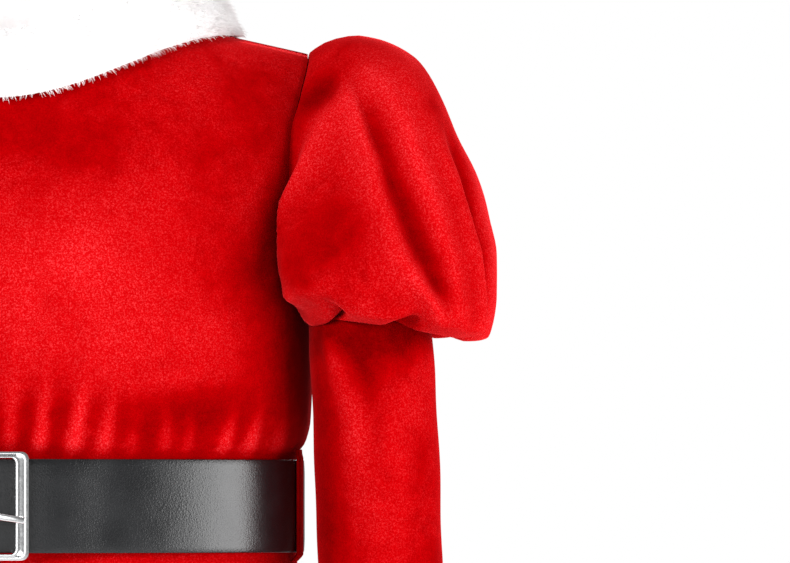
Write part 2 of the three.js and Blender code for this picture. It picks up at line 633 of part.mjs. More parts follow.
// ---- Belt, carriers and buckle ----
// The strap starts at the buckle's rod, runs round the wearer's right side and the back, comes to the
// buckle from the wearer's left, and its tail lies on its own start.
function beltGeometry() {
  const steps = 76;
  const firstTurn = -1.4;
  const lastTurn = -360 - BELT_TAIL_TURN;
  const pointAt = (u, v) => {
    const turn = lastTurn + (firstTurn - lastTurn) * u;
    const lifted = ease((-turn - 340) / 12) * BELT_BUCKLE_LIFT;
    return waistPoint(turn, BELT_TOP_Z - BELT_WIDTH * (1 - v), BELT_EASE + lifted + BELT_THICKNESS);
  };
  return wallGeometry(pointAt, steps, 1, { thick: BELT_THICKNESS });
}

function carrierGeometry() {
  const turn = 76;
  const halfTurn = 2.4;
  const rise = 7;
  const raised = BELT_EASE + BELT_THICKNESS + CLOTH + SEAM * 2;
  const heights = [-rise, -rise + 4, -1, 1.5];
  const levels = [
    ...heights.map((height) => BELT_TOP_Z - BELT_WIDTH + height),
    ...heights.map((height) => BELT_TOP_Z - height).reverse(),
  ];
  const end = CLOTH + 3 * SEAM;
  const lifts = [end, raised - 1, raised, raised, raised, raised, raised - 0.6, end + 2];
  const pointAt = (u, v, column, row) => waistPoint(turn + halfTurn * (2 * u - 1), levels[row], lifts[row]);
  return wallGeometry(pointAt, 2, levels.length - 1);
}

function roundedFrame(width, height, corner) {
  const shape = new THREE.Shape();
  const x = width / 2;
  const y = height / 2;
  shape.moveTo(-x + corner, -y);
  shape.lineTo(x - corner, -y);
  shape.absarc(x - corner, -y + corner, corner, -Math.PI / 2, 0);
  shape.lineTo(x, y - corner);
  shape.absarc(x - corner, y - corner, corner, 0, Math.PI / 2);
  shape.lineTo(-x + corner, y);
  shape.absarc(-x + corner, y - corner, corner, Math.PI / 2, Math.PI);
  shape.lineTo(-x, -y + corner);
  shape.absarc(-x + corner, -y + corner, corner, Math.PI, 1.5 * Math.PI);
  return shape;
}

function toManifold(geometry) {
  const plain = geometry.index ? geometry.toNonIndexed() : geometry;
  const position = plain.getAttribute('position');
  const merged = new Map();
  const vertices = [];
  const triangles = [];
  for (let corner = 0; corner < position.count; corner += 1) {
    const place = [position.getX(corner), position.getY(corner), position.getZ(corner)];
    const key = place.map((value) => Math.round(value * 1e4)).join();
    if (!merged.has(key)) {
      merged.set(key, merged.size);
      vertices.push(...place);
    }
    triangles.push(merged.get(key));
  }
  const mesh = new manifold.Mesh({
    numProp: 3,
    vertProperties: new Float32Array(vertices),
    triVerts: new Uint32Array(triangles),
  });
  return new manifold.Manifold(mesh);
}

function fromManifold(solid) {
  const mesh = solid.getMesh();
  const geometry = new THREE.BufferGeometry();
  geometry.setAttribute('position', new THREE.Float32BufferAttribute(mesh.vertProperties, 3));
  geometry.setIndex(new THREE.Uint32BufferAttribute(mesh.triVerts, 1));
  geometry.computeVertexNormals();
  return geometry;
}

const BUCKLE_MIDDLE_Z = BELT_TOP_Z - BELT_WIDTH / 2;
const BUCKLE_BACK_Y = waistPoint(0, BUCKLE_MIDDLE_Z, BELT_EASE + BELT_BUCKLE_LIFT + BELT_THICKNESS + 0.4).y;
const ROD_Y = waistPoint(0, BUCKLE_MIDDLE_Z, BELT_EASE + BUCKLE.rod + SEAM).y;

function buckleFrameGeometry() {
  const outline = roundedFrame(BUCKLE.width, BUCKLE.height, BUCKLE.corner);
  const window = roundedFrame(BUCKLE.width - 2 * BUCKLE.sideBar, BUCKLE.height - 2 * BUCKLE.endBar, 1.6);
  outline.holes.push(new THREE.Path(window.getPoints(2)));
  const edge = 0.8;
  const frame = new THREE.ExtrudeGeometry(outline, {
    depth: BUCKLE.thick - edge,
    bevelEnabled: true,
    bevelThickness: edge / 2,
    bevelSize: edge,
    bevelOffset: -edge,
    bevelSegments: 1,
    curveSegments: 3,
  });
  frame.rotateX(Math.PI / 2);
  frame.translate(0, BUCKLE_BACK_Y - edge / 2, BUCKLE_MIDDLE_Z);

  const endZ = BUCKLE.height / 2 - BUCKLE.endBar / 2;
  const rod = new THREE.CylinderGeometry(BUCKLE.rod, BUCKLE.rod, 2 * endZ + 2 * BUCKLE.rod, 10);
  rod.rotateX(Math.PI / 2);
  rod.translate(0, ROD_Y, BUCKLE_MIDDLE_Z);
  let solid = toManifold(frame).add(toManifold(rod));
  [-1, 1].forEach((end) => {
    const reach = ROD_Y - BUCKLE_BACK_Y + 1;
    const post = new THREE.CylinderGeometry(BUCKLE.rod * 0.9, BUCKLE.rod * 0.9, reach + 0.6, 10);
    post.translate(0, ROD_Y - reach / 2, BUCKLE_MIDDLE_Z + end * endZ);
    solid = solid.add(toManifold(post));
  });
  return fromManifold(solid);
}

// The prong passes through the strap's hole and rests on the frame's bar at the wearer's left.
function prongGeometry() {
  const half = 2.3;
  const thick = 2.4;
  const slope = 9;
  const start = -6.1;
  const restY = BUCKLE_BACK_Y - BUCKLE.thick - SEAM;
  const profile = new THREE.Shape();
  profile.moveTo(0, 0);
  profile.lineTo(18, 0);
  profile.lineTo(22.3, -0.1);
  profile.quadraticCurveTo(24.2, -1.2, 22.3, -thick);
  profile.lineTo(1, -thick);
  profile.quadraticCurveTo(-1.4, -thick / 2, 0, 0);
  const settings = { depth: 2 * half, bevelEnabled: false, curveSegments: 5 };
  const prong = new THREE.ExtrudeGeometry(profile, settings);
  prong.translate(0, 0, -half);
  prong.rotateY(radians(slope));
  prong.translate(0, restY, BUCKLE_MIDDLE_Z + start);
  return prong;
}

// ---- The dress ----
const dress = new THREE.Group();

function addPiece(name, geometry, finish) {
  const piece = new THREE.Mesh(geometry, new THREE.MeshStandardMaterial(finish));
  piece.name = name;
  dress.add(piece);
}

function addPair(name, geometry, finish) {
  addPiece(`${name}_left`, geometry, finish);
  addPiece(`${name}_right`, mirrorToRight(geometry), finish);
}

addPiece('bodice_front', bodiceGeometry(FRONT, FRONT_GATHERS, 76), RED_VELVET);
addPiece('bodice_back', bodiceGeometry(BACK, BACK_GATHERS, 48), RED_VELVET);
addPiece('skirt_front', skirtGeometry(FRONT, 46), RED_VELVET);
addPiece('skirt_back', skirtGeometry(BACK, 46), RED_VELVET);
addPiece('collar_fur_front', collarGeometry(FRONT, -90), WHITE_FUR);
addPiece('collar_fur_back', collarGeometry(BACK, 90), WHITE_FUR);
addPair('puff', puffGeometry(40, 13), RED_VELVET);
addPair('sleeve', sleeveGeometry(24, 10), RED_VELVET);
addPiece('belt_strap', beltGeometry(), BLACK_LEATHER);
addPair('belt_carrier', carrierGeometry(), RED_VELVET);
addPiece('buckle_frame', buckleFrameGeometry(), SILVER);
addPiece('buckle_prong', prongGeometry(), SILVER);

export default dress;
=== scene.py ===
"""Christmas costume dress: red stretch velvet, fur collar, puffed sleeves and a black buckled belt.

Lengths in the tables are millimetres in the dress's own frame: +Z up, the front faces -Y, the wearer's
left is +X, and the origin lies between the shoulders. A turn is an angle in degrees round a section,
0 at the front and 90 at the outer side.
"""

import math
import random

import bmesh
import bpy
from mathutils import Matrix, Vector, noise


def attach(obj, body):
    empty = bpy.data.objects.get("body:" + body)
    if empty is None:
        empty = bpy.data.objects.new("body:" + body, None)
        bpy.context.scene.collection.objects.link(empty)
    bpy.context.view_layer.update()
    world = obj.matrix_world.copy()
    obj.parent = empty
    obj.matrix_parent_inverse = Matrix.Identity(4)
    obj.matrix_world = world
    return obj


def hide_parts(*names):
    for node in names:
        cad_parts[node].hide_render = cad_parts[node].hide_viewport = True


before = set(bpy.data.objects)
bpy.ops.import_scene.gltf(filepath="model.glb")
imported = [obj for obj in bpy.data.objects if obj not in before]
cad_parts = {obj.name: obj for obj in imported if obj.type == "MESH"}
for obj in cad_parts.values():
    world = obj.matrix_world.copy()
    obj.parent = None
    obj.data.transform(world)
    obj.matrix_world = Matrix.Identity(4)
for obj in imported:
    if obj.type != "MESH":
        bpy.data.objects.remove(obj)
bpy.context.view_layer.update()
bpy.ops.object.select_all(action="DESELECT")

MM = 0.001

# ---- Camera: level with the belt, in front of the dress's middle, turned towards its left sleeve ----
CAMERA_PLACE = Vector((0.0, -5.0, -0.32))
CAMERA_AIM = Vector((0.2773, 0.0, -0.1675))
# The sensor's width in millimetres, and in metres the width that is in view at the origin's depth.
SENSOR_WIDTH, FRAME_WIDTH = 36.0, 0.541

camera_data = bpy.data.cameras.new("camera")
camera_data.sensor_width = SENSOR_WIDTH
camera_data.lens = SENSOR_WIDTH * -CAMERA_PLACE.y / FRAME_WIDTH
camera = bpy.data.objects.new("camera", camera_data)
camera.location = CAMERA_PLACE
camera.rotation_euler = (CAMERA_AIM - CAMERA_PLACE).to_track_quat("-Z", "Y").to_euler()
bpy.context.scene.collection.objects.link(camera)
bpy.context.scene.camera = camera


# ---- Sizes of the cut and of the figure ----
def table(columns, *rows):
    """Rows with named columns."""
    return [dict(zip(columns.split(), row)) for row in rows]


# SEAM is the gap between the frame's solids, and SEWN_GAP the one between the cloths that are sewn.
CLOTH = 1.5
SEAM = 0.3
SEWN_GAP = 0.02
SEAM_PLANE_Y = 8
ROUNDNESS = 2.3

SHOULDER_HALF = 218.5
SHOULDER_DROP = -11
SHOULDER_ROUND = 70
NECK_SEAM_HALF = 160
NECK_SEAM_SIDE_Z = 2.6
NECK_SLOPE = -0.33
UNDERARM_Z = -160
WAIST_SEAM_Z = -320
HEM_Z = -820
UNDER_BELT_SHARE = 0.3

BELT_TOP_Z = -290
BELT_WIDTH = 63
BELT_THICKNESS = 3.2
BELT_EASE = 2.4
BELT_BUCKLE_LIFT = 4.9
BELT_TAIL_TURN = 34
CARRIER_TURN = 76

COLLAR_HALF = 168
COLLAR_HEIGHT = 48
COLLAR_PILE = 15
COLLAR_SIDE_PILE = 5
COLLAR_EASE = 1

FRONT = {"depth": "front", "sign": -1, "neck_z": -36, "collar_drop": 48, "collar_lean": 0.2}
BACK = {"depth": "back", "sign": 1, "neck_z": -4, "collar_drop": 12, "collar_lean": 0.02}

TORSO = table(
    "z half_width front back",
    (-820, 292, 205, 212),
    (-650, 264, 175, 180),
    (-500, 238, 148, 150),
    (-400, 220, 130, 128),
    (-357, 210, 120, 116),
    (-288, 210, 120, 116),
    (-277, 216.5, 124.5, 120),
    (-262, 220.5, 129, 123),
    (-235, 221.5, 134, 124),
    (-195, 221, 138, 123),
    (-160, 222, 137, 121),
    (-110, 228, 126, 116),
    (-60, 236, 106, 102),
    (-20, 240, 88, 84),
    (40, 244, 66, 62),
)
ARMHOLE = table(
    "z half",
    (-160, 222), (-146, 215), (-128, 209), (-97, 203), (-70, 204), (-42, 211), (-11, 218.5), (30, 221),
)

# Waist gathers: place at the belt, outward lean going up, reach above the belt, height, half width.
FRONT_GATHERS = table(
    "at lean reach rise half",
    (-205, -0.30, 34, 2.2, 4.6),
    (-188, -0.34, 52, 3.2, 4.8),
    (-168, -0.30, 64, 4.2, 4.8),
    (-151, -0.27, 58, 3.6, 4.6),
    (-133, -0.14, 66, 3.2, 5.0),
    (-114, -0.08, 74, 3.4, 5.2),
    (-91, -0.12, 82, 3.0, 5.0),
    (-71, -0.19, 92, 4.0, 5.0),
    (-51, -0.17, 122, 4.4, 5.4),
    (-30, -0.10, 116, 4.0, 5.2),
    (-10, 0.00, 150, 3.0, 5.2),
    (13, 0.02, 165, 3.2, 5.0),
    (32, 0.10, 128, 4.2, 5.0),
    (54, 0.17, 124, 4.6, 5.2),
    (74, 0.19, 86, 4.0, 4.8),
    (93, 0.14, 72, 2.6, 5.0),
    (116, 0.06, 70, 3.2, 5.0),
    (131, 0.14, 60, 3.0, 4.6),
    (154, 0.28, 64, 4.2, 4.8),
    (171, 0.30, 60, 4.2, 4.6),
    (191, 0.35, 44, 3.0, 4.8),
)
BACK_GATHERS = table(
    "at lean reach rise half",
    (-190, -0.30, 50, 2.8, 6),
    (-158, -0.26, 66, 3.6, 6),
    (-127, -0.18, 84, 3.2, 6),
    (-98, -0.16, 76, 3.8, 6),
    (-68, -0.10, 108, 4.0, 6),
    (-39, -0.06, 122, 3.4, 6),
    (-9, -0.02, 134, 4.0, 6),
    (21, 0.04, 126, 3.6, 6),
    (50, 0.10, 104, 4.0, 6),
    (82, 0.12, 90, 3.4, 6),
    (111, 0.18, 72, 3.6, 6),
    (143, 0.22, 80, 3.2, 6),
    (177, 0.30, 54, 3.0, 6),
)
FLUTES = table(
    "turn rise half",
    (-78, 18, 5), (-60, 30, 5.5), (-41, 22, 5), (-22, 32, 6), (-1, 24, 5.5),
    (20, 31, 5.5), (39, 24, 5), (59, 30, 5.5), (77, 18, 5),
)
FLUTE_START_Z = BELT_TOP_Z - BELT_WIDTH - 7

PUFF_RINGS = table(
    "share inner_x inner_z outer_x outer_z y half_depth",
    (0.00, 216.3, -195.7, 299.7, -195.7, -44, 52.4),
    (0.07, 214, -193, 320, -209, -41, 66),
    (0.15, 208, -190, 335, -206, -35, 84),
    (0.24, 202, -187, 341, -180, -28, 96),
    (0.33, 199, -184, 341.5, -151, -22, 102),
    (0.42, 197, -181, 337, -125, -16, 106),
    (0.51, 196, -178, 329.5, -97, -10, 107),
    (0.60, 195, -175, 319, -70, -6, 106),
    (0.69, 196, -172, 308.5, -41.5, -3, 101),
    (0.78, 198, -169, 290, -14, 1, 93),
    (0.87, 202, -166, 264, -0.5, 4, 80),
    (0.94, 210, -163, 239, 2.6, 6, 68),
    (1.00, 222, -160, 218.5, -11, 8, 60),
)
PUFF_SQUARE = 0.8
PUFF_CLEAR = 2.6
PUFF_HEAD_ROLL = {"turn": -20, "share": 0.9, "depth": 9, "half": 0.06}
# Uneven waves all over the puff: how far turns and shares count as lengths, their height and two sizes.
PUFF_WAVES = {"per_turn": 1.4, "per_share": 210, "rise": 1.1, "long": 38, "short": 17}
PUFF_OVERHANGS = table("turn reach half", (-28, 19, 30), (208, 13, 30))
# Long folds: turn half way up, how far it swings at the foot and at the head, height, half width, and
# the shares of the puff between which it runs.
PUFF_FOLDS = table(
    "turn foot head rise half start stop",
    (-63, 0, 10, 4.0, 6, 0.20, 0.62),
    (-36, 0, 0, -3.0, 8, 0.30, 0.80),
    (6.5, 32, 38, 7.5, 4.2, 0.12, 1.00),
    (15.5, 33, 28, -9.0, 4.6, 0.18, 0.92),
    (25, 26, 34, 5.5, 6.5, 0.10, 0.95),
    (50, 30, 20, 5.0, 5.5, 0.08, 0.72),
    (59, 35, 30, -10.0, 5.5, 0.02, 0.68),
    (99, 0, 0, 6.0, 11, 0.00, 0.70),
    (132, 0, -12, -7.0, 8, 0.12, 0.90),
    (150, 0, -22, 6.0, 9, 0.10, 0.95),
    (172, 0, -30, -6.0, 8, 0.20, 0.85),
    (198, 0, -26, 5.0, 9, 0.15, 0.90),
)
# Short creases that the lower seam gathers: the turn at the seam and how far it swings by the top, how
# deep the crease is and how far it lifts the edge, half width, and the share where it ends.
PUFF_CREASES = table(
    "turn swing depth lift half top",
    (-50, 24, 11, 12, 5, 0.34),
    (-70, 6, 3, 2, 5, 0.22),
    (-86, 0, 2, 1, 5, 0.20),
    (-104, 0, 2, 1, 5, 0.20),
    (9, 0, 11, 16, 5.5, 0.28),
    (80, 0, 12, 17, 6, 0.30),
    (117, 0, 11, 15, 6.5, 0.28),
    (153, 0, 10, 16, 6.5, 0.30),
    (188, 0, 8, 10, 6.5, 0.27),
    (228, 0, 2, 1.5, 6, 0.22),
)
PUFF_FOLD_MIDDLE, PUFF_FOLD_HEAD = 0.5, 0.92
# The pucker under the shoulder, the lower edge's sag beside the body, and the tuck behind that edge.
PUFF_PUCKER = {"turn": 31, "share": 0.925, "depth": 10, "half": 10, "span": 0.035}
PUFF_SAG = {"turn": -72, "share": 0.13, "drop": 9, "wide": 17, "tall": 0.055}
PUFF_TUCK = {"turn": -62, "inward": 8, "wide": 26, "from_z": -148, "to_z": -188}
# Painted light and shade on the puff's pile: lighter by its folds' and waves' heights, painted shade in
# the pucker, creases and at the armhole, and a painted highlight and shadow at the lower edge.
PUFF_LIGHT = {"full_rise": 6, "waves": 0.2, "pucker": -1.6, "full_crease": 12, "armhole": -0.5}
PUFF_EDGE_LIGHTS = table("share half light", (0.13, 0.05, 0.4), (0.0, 0.03, -0.8))
# Patches of stroked pile, and painted shadows and highlights: place, half sizes and how light each is
# painted, by turn and share on the puff, by turn and height on the sleeve, and by place and height on the
# bodice.
PUFF_STROKED_AND_PAINTED_PATCHES = table(
    "across up wide tall light",
    (42, 0.82, 14, 0.060, 0.5),
    (37, 0.71, 10, 0.070, 0.5),
    (30, 0.56, 8, 0.090, 0.4),
    (8, 0.88, 12, 0.040, 0.7),
    (-10, 0.88, 9, 0.045, 0.6),
    (-60, 0.30, 8, 0.100, 0.6),
    (-8, 0.55, 9, 0.140, -0.5),
    (74, 0.40, 6, 0.200, -0.3),
    (100, 0.38, 22, 0.200, 1.8),
    (-30, 0.20, 10, 0.060, 0.5),
    (140, 0.70, 14, 0.080, 0.7),
    (165, 0.50, 12, 0.100, 0.6),
    (190, 0.75, 14, 0.080, 0.6),
)
SLEEVE_STROKED_AND_PAINTED_PATCHES = table(
    "across up wide tall light",
    (-20, -275, 9, 22, 0.9),
    (-2, -335, 24, 32, 0.7),
    (30, -262, 13, 24, 0.5),
    (52, -240, 14, 30, 0.3),
    (-56, -290, 16, 70, -0.8),
    # Painted shadow just under the puff.
    (5, -216, 18, 14, -0.5),
    (160, -300, 30, 50, 0.6),
    (210, -400, 30, 60, 0.5),
    (20, -480, 30, 50, 0.4),
)
BODICE_STROKED_AND_PAINTED_PATCHES = table(
    "across up wide tall light",
    (96, -208, 50, 28, 0.7),
    (40, -170, 40, 40, 0.3),
    (-84, -204, 54, 30, 0.6),
    (116, -258, 44, 11, -0.5),
    (-112, -258, 44, 12, -0.5),
    *(
        (half * across, *others)
        for across, *others in (
            (90, -70, 80, 26, -0.4),
            (70, -140, 50, 30, 0.4),
            (186, -150, 26, 60, -0.45),
            # Painted shadow of the puff on the bodice's side, darkest just under it.
            (224, -188, 20, 44, -2.8),
            (232, -250, 9, 40, -1.0),
            (196, -262, 14, 24, 0.5),
        )
        for half in (1, -1)
    ),
)

SLEEVE = table(
    "z x y half_width half_depth",
    (-196, 258, -44, 41.6, 52),
    (-235, 260.4, -44, 42.4, 51.5),
    (-269, 261.8, -44.5, 42.5, 51),
    (-345, 264.3, -46, 42, 49),
    (-430, 270, -56, 40.5, 45),
    (-520, 280, -73, 36, 39),
    (-590, 289, -89, 33.5, 36),
)
SLEEVE_FOLDS = table(
    "turn_top turn_foot top_z foot_z rise half",
    (-47, -14, -198, -310, 4.6, 7.5),
    (-24, 6, -198, -290, -4.0, 8),
    (24, 30, -198, -250, -4.0, 8),
    (2, 26, -236, -335, 3.4, 10),
    (118, 150, -198, -300, 3.0, 10),
    (165, 190, -230, -350, 2.4, 11),
    (235, 215, -330, -470, 2.4, 11),
    (-60, -20, -330, -440, 2.4, 10),
)


# ---- Small tools ----
def clamp01(value):
    return min(1.0, max(0.0, value))


def ease(value):
    share = clamp01(value)
    return share * share * (3 - 2 * share)


def fade_in(value, start, over):
    """From 0 at a start to 1 past a length."""
    return ease((value - start) / over)


def hump(distance, half):
    return math.exp(-0.5 * (distance / half) ** 2)


def signed_power(value, power):
    return math.copysign(abs(value) ** power, value)


def turn_gap(start, stop):
    return (start - stop + 180) % 360 - 180


def length_gap(start, stop):
    return start - stop


def sine(turn):
    return math.sin(math.radians(turn))


def cosine(turn):
    return math.cos(math.radians(turn))


def stroked_and_painted_light(patch_rows, gap, across, up):
    """How light the pile is painted at a place that the rows of a table reach: stroked pile, painted
    shade and painted highlight.
    """
    light = 0.0
    for stroke in patch_rows:
        beside = hump(gap(across, stroke["across"]), stroke["wide"])
        light += stroke["light"] * beside * hump(up - stroke["up"], stroke["tall"])
    return light


def read_table(rows, key, place, column):
    """A smooth value from a table's column, at a place in its key column."""
    rising = 1 if rows[-1][key] > rows[0][key] else -1
    row = 0
    while row < len(rows) - 2 and rising * (place - rows[row + 1][key]) > 0:
        row += 1

    def slope(at):
        if at in (0, len(rows) - 1):
            return 0.0
        below, here, above = rows[at - 1 : at + 2]
        before = (here[column] - below[column]) / (here[key] - below[key])
        after = (above[column] - here[column]) / (above[key] - here[key])
        return 2 * before * after / (before + after) if before * after > 0 else 0.0

    start, stop = rows[row], rows[row + 1]
    span = stop[key] - start[key]
    share = clamp01((place - start[key]) / span)
    square, cube = share**2, share**3
    return (
        (2 * cube - 3 * square + 1) * start[column]
        + (cube - 2 * square + share) * span * slope(row)
        + (3 * square - 2 * cube) * stop[column]
        + (cube - square) * span * slope(row + 1)
    )


def soft_noise(point, size, seed=0):
    """Uneven waves about one size apart, between about -1 and 1."""
    return noise.noise(Vector(point) / size + Vector((seed * 17.3, seed * 5.1, 3.7)))


# ---- Making meshes ----
def new_piece(name, points, faces, smooth=True):
    mesh = bpy.data.meshes.new(name)
    mesh.from_pydata([tuple(point * MM for point in place) for place in points], [], faces)
    mesh.update()
    piece = bpy.data.objects.new(name, mesh)
    bpy.context.scene.collection.objects.link(piece)
    if smooth:
        mesh.shade_smooth()
    return piece


def select_pieces(active, *others):
    """Selects these pieces alone, and makes the first one active."""
    bpy.ops.object.select_all(action="DESELECT")
    for piece in (active, *others):
        piece.select_set(True)
    bpy.context.view_layer.objects.active = active


def apply_modifier(piece, kind, **settings):
    modifier = piece.modifiers.new(kind.lower(), kind)
    for key, value in settings.items():
        setattr(modifier, key, value)
    select_pieces(piece)
    bpy.ops.object.modifier_apply(modifier=modifier.name)
    piece.select_set(False)


def round_edges(piece, width, segments, sharp):
    """Bevels the edges that are sharper than an angle."""
    apply_modifier(
        piece, "BEVEL", width=width * MM, segments=segments, limit_method="ANGLE",
        angle_limit=math.radians(sharp),
    )


def cloth_piece(name, point_at, columns, rows, closed=False, thick=CLOTH):
    """A sheet of cloth through a grid, outside faces out, with its thickness inside them.

    Each point of the grid comes with how light its colour is painted: the nap of stroked pile, with
    painted shade in folds, creases and shadows and painted highlight on crests, from -1 in a deep fold to
    1 on a stroked crest.
    """
    across = columns if closed else columns + 1
    grid = [point_at(column / columns, row / rows) for row in range(rows + 1) for column in range(across)]
    faces = []
    for row in range(rows):
        for column in range(columns):
            following = (column + 1) % across
            low, high = row * across, (row + 1) * across
            faces.append((low + column, low + following, high + following, high + column))
    piece = new_piece(name, [place for place, _ in grid], faces)
    nap_and_painted_light = piece.data.attributes.new("nap_and_painted_light", "FLOAT", "POINT")
    nap_and_painted_light.data.foreach_set("value", [value for _, value in grid])
    apply_modifier(piece, "SOLIDIFY", thickness=thick * MM, offset=-1, use_even_offset=False)
    return piece


def mirrored_piece(piece, name):
    """The wearer's right piece, made from the left one."""
    copy = piece.copy()
    copy.data = piece.data.copy()
    copy.name = name
    copy.data.name = name
    bpy.context.scene.collection.objects.link(copy)
    mesh = bmesh.new()
    mesh.from_mesh(copy.data)
    for vertex in mesh.verts:
        vertex.co.x *= -1
    bmesh.ops.reverse_faces(mesh, faces=mesh.faces)
    mesh.to_mesh(copy.data)
    mesh.free()
    return copy


# ---- The figure under the dress ----
def shoulder_line(x):
    beyond_neck = abs(x) - COLLAR_HALF
    slope = SHOULDER_DROP / (SHOULDER_HALF - COLLAR_HALF) if beyond_neck > 0 else NECK_SLOPE
    return beyond_neck * slope


def side_depth(side, x, z):
    half_width = read_table(TORSO, "z", z, "half_width")
    depth = read_table(TORSO, "z", z, side["depth"])
    section = (1 - min(1, abs(x) / half_width) ** ROUNDNESS) ** (1 / ROUNDNESS)
    below = clamp01((shoulder_line(x) - z) / SHOULDER_ROUND)
    round_over = math.sqrt(1 - (1 - below) ** 2) if z > UNDERARM_Z else 1
    return side["sign"] * (SEWN_GAP / 2 + depth * section * round_over)


def waist_point(turn, z, lift):
    """A point of the dress at a turn and height, moved out by a lift."""
    column = "front" if cosine(turn) >= 0 else "back"
    half_width = read_table(TORSO, "z", z, "half_width")
    depth = read_table(TORSO, "z", z, column)

    def reach(degrees):
        return Vector((
            signed_power(sine(degrees), 2 / ROUNDNESS) * half_width,
            SEAM_PLANE_Y - signed_power(cosine(degrees), 2 / ROUNDNESS) * depth,
            z,
        ))

    along = reach(turn + 0.5) - reach(turn - 0.5)
    outward = Vector((along.y, -along.x, 0)).normalized()
    return reach(turn) + outward * lift


# ---- Bodice ----
ARMHOLE_FIRST_LEVEL = 0.5178
ARMHOLE_STEPS = 40
# How far above the belt a gather starts to come free of it, and over what height.
RELEASE_START, RELEASE_SPAN = 1, 9
HUMP_REACH = 4
# The form dies out over these shares of a panel, at its side and at its neckline.
SIDE_FADE, NECK_FADE = 0.03, 0.06
# Heights above the belt where the worn dents start and the painted light and shade of the gathers ends,
# and over what span.
DENTS_START, DENTS_SPAN = 6, 24
GATHER_LIGHT_START, GATHER_LIGHT_SPAN = 20, 56
GATHER_LIGHT = {"full_rise": 3.4, "most": 1.2, "crest": 1.7, "hollow": -0.7}
BODICE_WAVES = {"rise": 0.7, "size": 46}
SIDE_SEAM_PULL = {"depth": 0.9, "half": 2.2}
# Soft dents and ridges of the worn cloth: centre, tilt, length, half width and height.
FRONT_DENTS = table(
    "x z tilt length half rise",
    (124, -236, 8, 34, 5, 1.3),
    (112, -228, 12, 26, 4, -1.2),
    (-96, -240, -10, 36, 6, 1.2),
    (-120, -229, -6, 24, 4, -1.0),
    (184, -96, 62, 40, 7, 1.5),
    (192, -134, 74, 36, 6, -1.4),
    (-186, -102, -60, 42, 7, 1.4),
    (-190, -142, -76, 34, 6, -1.3),
    (60, -150, 15, 80, 22, 1.6),
    (-70, -130, -20, 84, 24, 1.6),
    (20, -95, 4, 70, 18, -1.2),
)
BACK_DENTS = table(
    "x z tilt length half rise",
    (110, -70, 30, 60, 14, 1.6),
    (-104, -76, -34, 60, 14, 1.5),
    (178, -110, 68, 44, 8, 1.6),
    (-180, -104, -66, 44, 8, 1.6),
    (40, -228, 4, 50, 8, 1.4),
    (-52, -218, -6, 46, 8, -1.3),
    (0, -150, 84, 90, 16, -1.8),
)


def bodice_top(side, share):
    x = abs(share) * SHOULDER_HALF
    if x >= NECK_SEAM_HALF:
        return shoulder_line(x) - SEWN_GAP
    return side["neck_z"] + (NECK_SEAM_SIDE_Z - side["neck_z"]) * ease(x / NECK_SEAM_HALF)


def gather_rise(gathers, x, z):
    above = z - BELT_TOP_Z
    pressed = UNDER_BELT_SHARE + (1 - UNDER_BELT_SHARE) * fade_in(above, RELEASE_START, RELEASE_SPAN)
    to_seam = ease((z - WAIST_SEAM_Z) / (BELT_TOP_Z - WAIST_SEAM_Z))
    rise = 0.0
    for gather in gathers:
        place = gather["at"] + gather["lean"] * max(above, 0)
        fading = 1 - ease(above / gather["reach"])
        if fading > 0 and abs(x - place) < HUMP_REACH * gather["half"]:
            rise += gather["rise"] * pressed * to_seam * fading * hump(x - place, gather["half"])
    return rise


def dent_rise(dents, x, z):
    rise = 0.0
    for dent in dents:
        along = (x - dent["x"]) * cosine(dent["tilt"]) + (z - dent["z"]) * sine(dent["tilt"])
        beside = (z - dent["z"]) * cosine(dent["tilt"]) - (x - dent["x"]) * sine(dent["tilt"])
        rise += dent["rise"] * hump(along, dent["length"] / 2) * hump(beside, dent["half"])
    return rise


def bodice_point(side, gathers, dents, across, level):
    share = sine(90 * across)
    z = WAIST_SEAM_Z + (bodice_top(side, share) - WAIST_SEAM_Z) * level
    half_width = read_table(TORSO, "z", z, "half_width")
    depth = read_table(TORSO, "z", z, side["depth"])
    x = share * (read_table(ARMHOLE, "z", z, "half") if z > UNDERARM_Z else half_width)
    y = side_depth(side, x, z)
    sideways = (abs(x) / half_width) ** (ROUNDNESS - 1) / half_width
    onwards = (abs(y) / depth) ** (ROUNDNESS - 1) / depth
    outward = Vector((math.copysign(sideways, x), side["sign"] * onwards, 0)).normalized()
    inside = ease((1 - abs(share)) / SIDE_FADE)
    below_neck = ease((1 - level) / NECK_FADE)
    above_belt = fade_in(z - BELT_TOP_Z, DENTS_START, DENTS_SPAN)
    waves = BODICE_WAVES["rise"] * soft_noise((x, z, side["sign"] * 90), BODICE_WAVES["size"])
    worn = dent_rise(dents, x, z) + waves
    gathered = gather_rise(gathers, x, z)
    rise = (gathered + worn * above_belt * below_neck) * inside
    from_seam = (1 - abs(share)) * SHOULDER_HALF
    seam_pull = SIDE_SEAM_PULL["depth"] * hump(from_seam, SIDE_SEAM_PULL["half"]) * above_belt

    # Painted light on the bodice: lighter on the gathers' crests and the dents' rises, painted shade in
    # the gathers' hollows and the side seam's pull, and the stroked pile with painted shadows from the
    # patch table.
    near_waist = 1 - fade_in(z - BELT_TOP_Z, GATHER_LIGHT_START, GATHER_LIGHT_SPAN)
    crest = min(GATHER_LIGHT["most"], gathered / GATHER_LIGHT["full_rise"]) ** 2
    nap_and_painted_light = (GATHER_LIGHT["crest"] * crest + GATHER_LIGHT["hollow"]) * near_waist
    nap_and_painted_light += worn * 0.25 - seam_pull * 0.5 + stroked_and_painted_light(BODICE_STROKED_AND_PAINTED_PATCHES, length_gap, x, z)
    return Vector((x, SEAM_PLANE_Y + y, z)) + outward * (rise - seam_pull), nap_and_painted_light


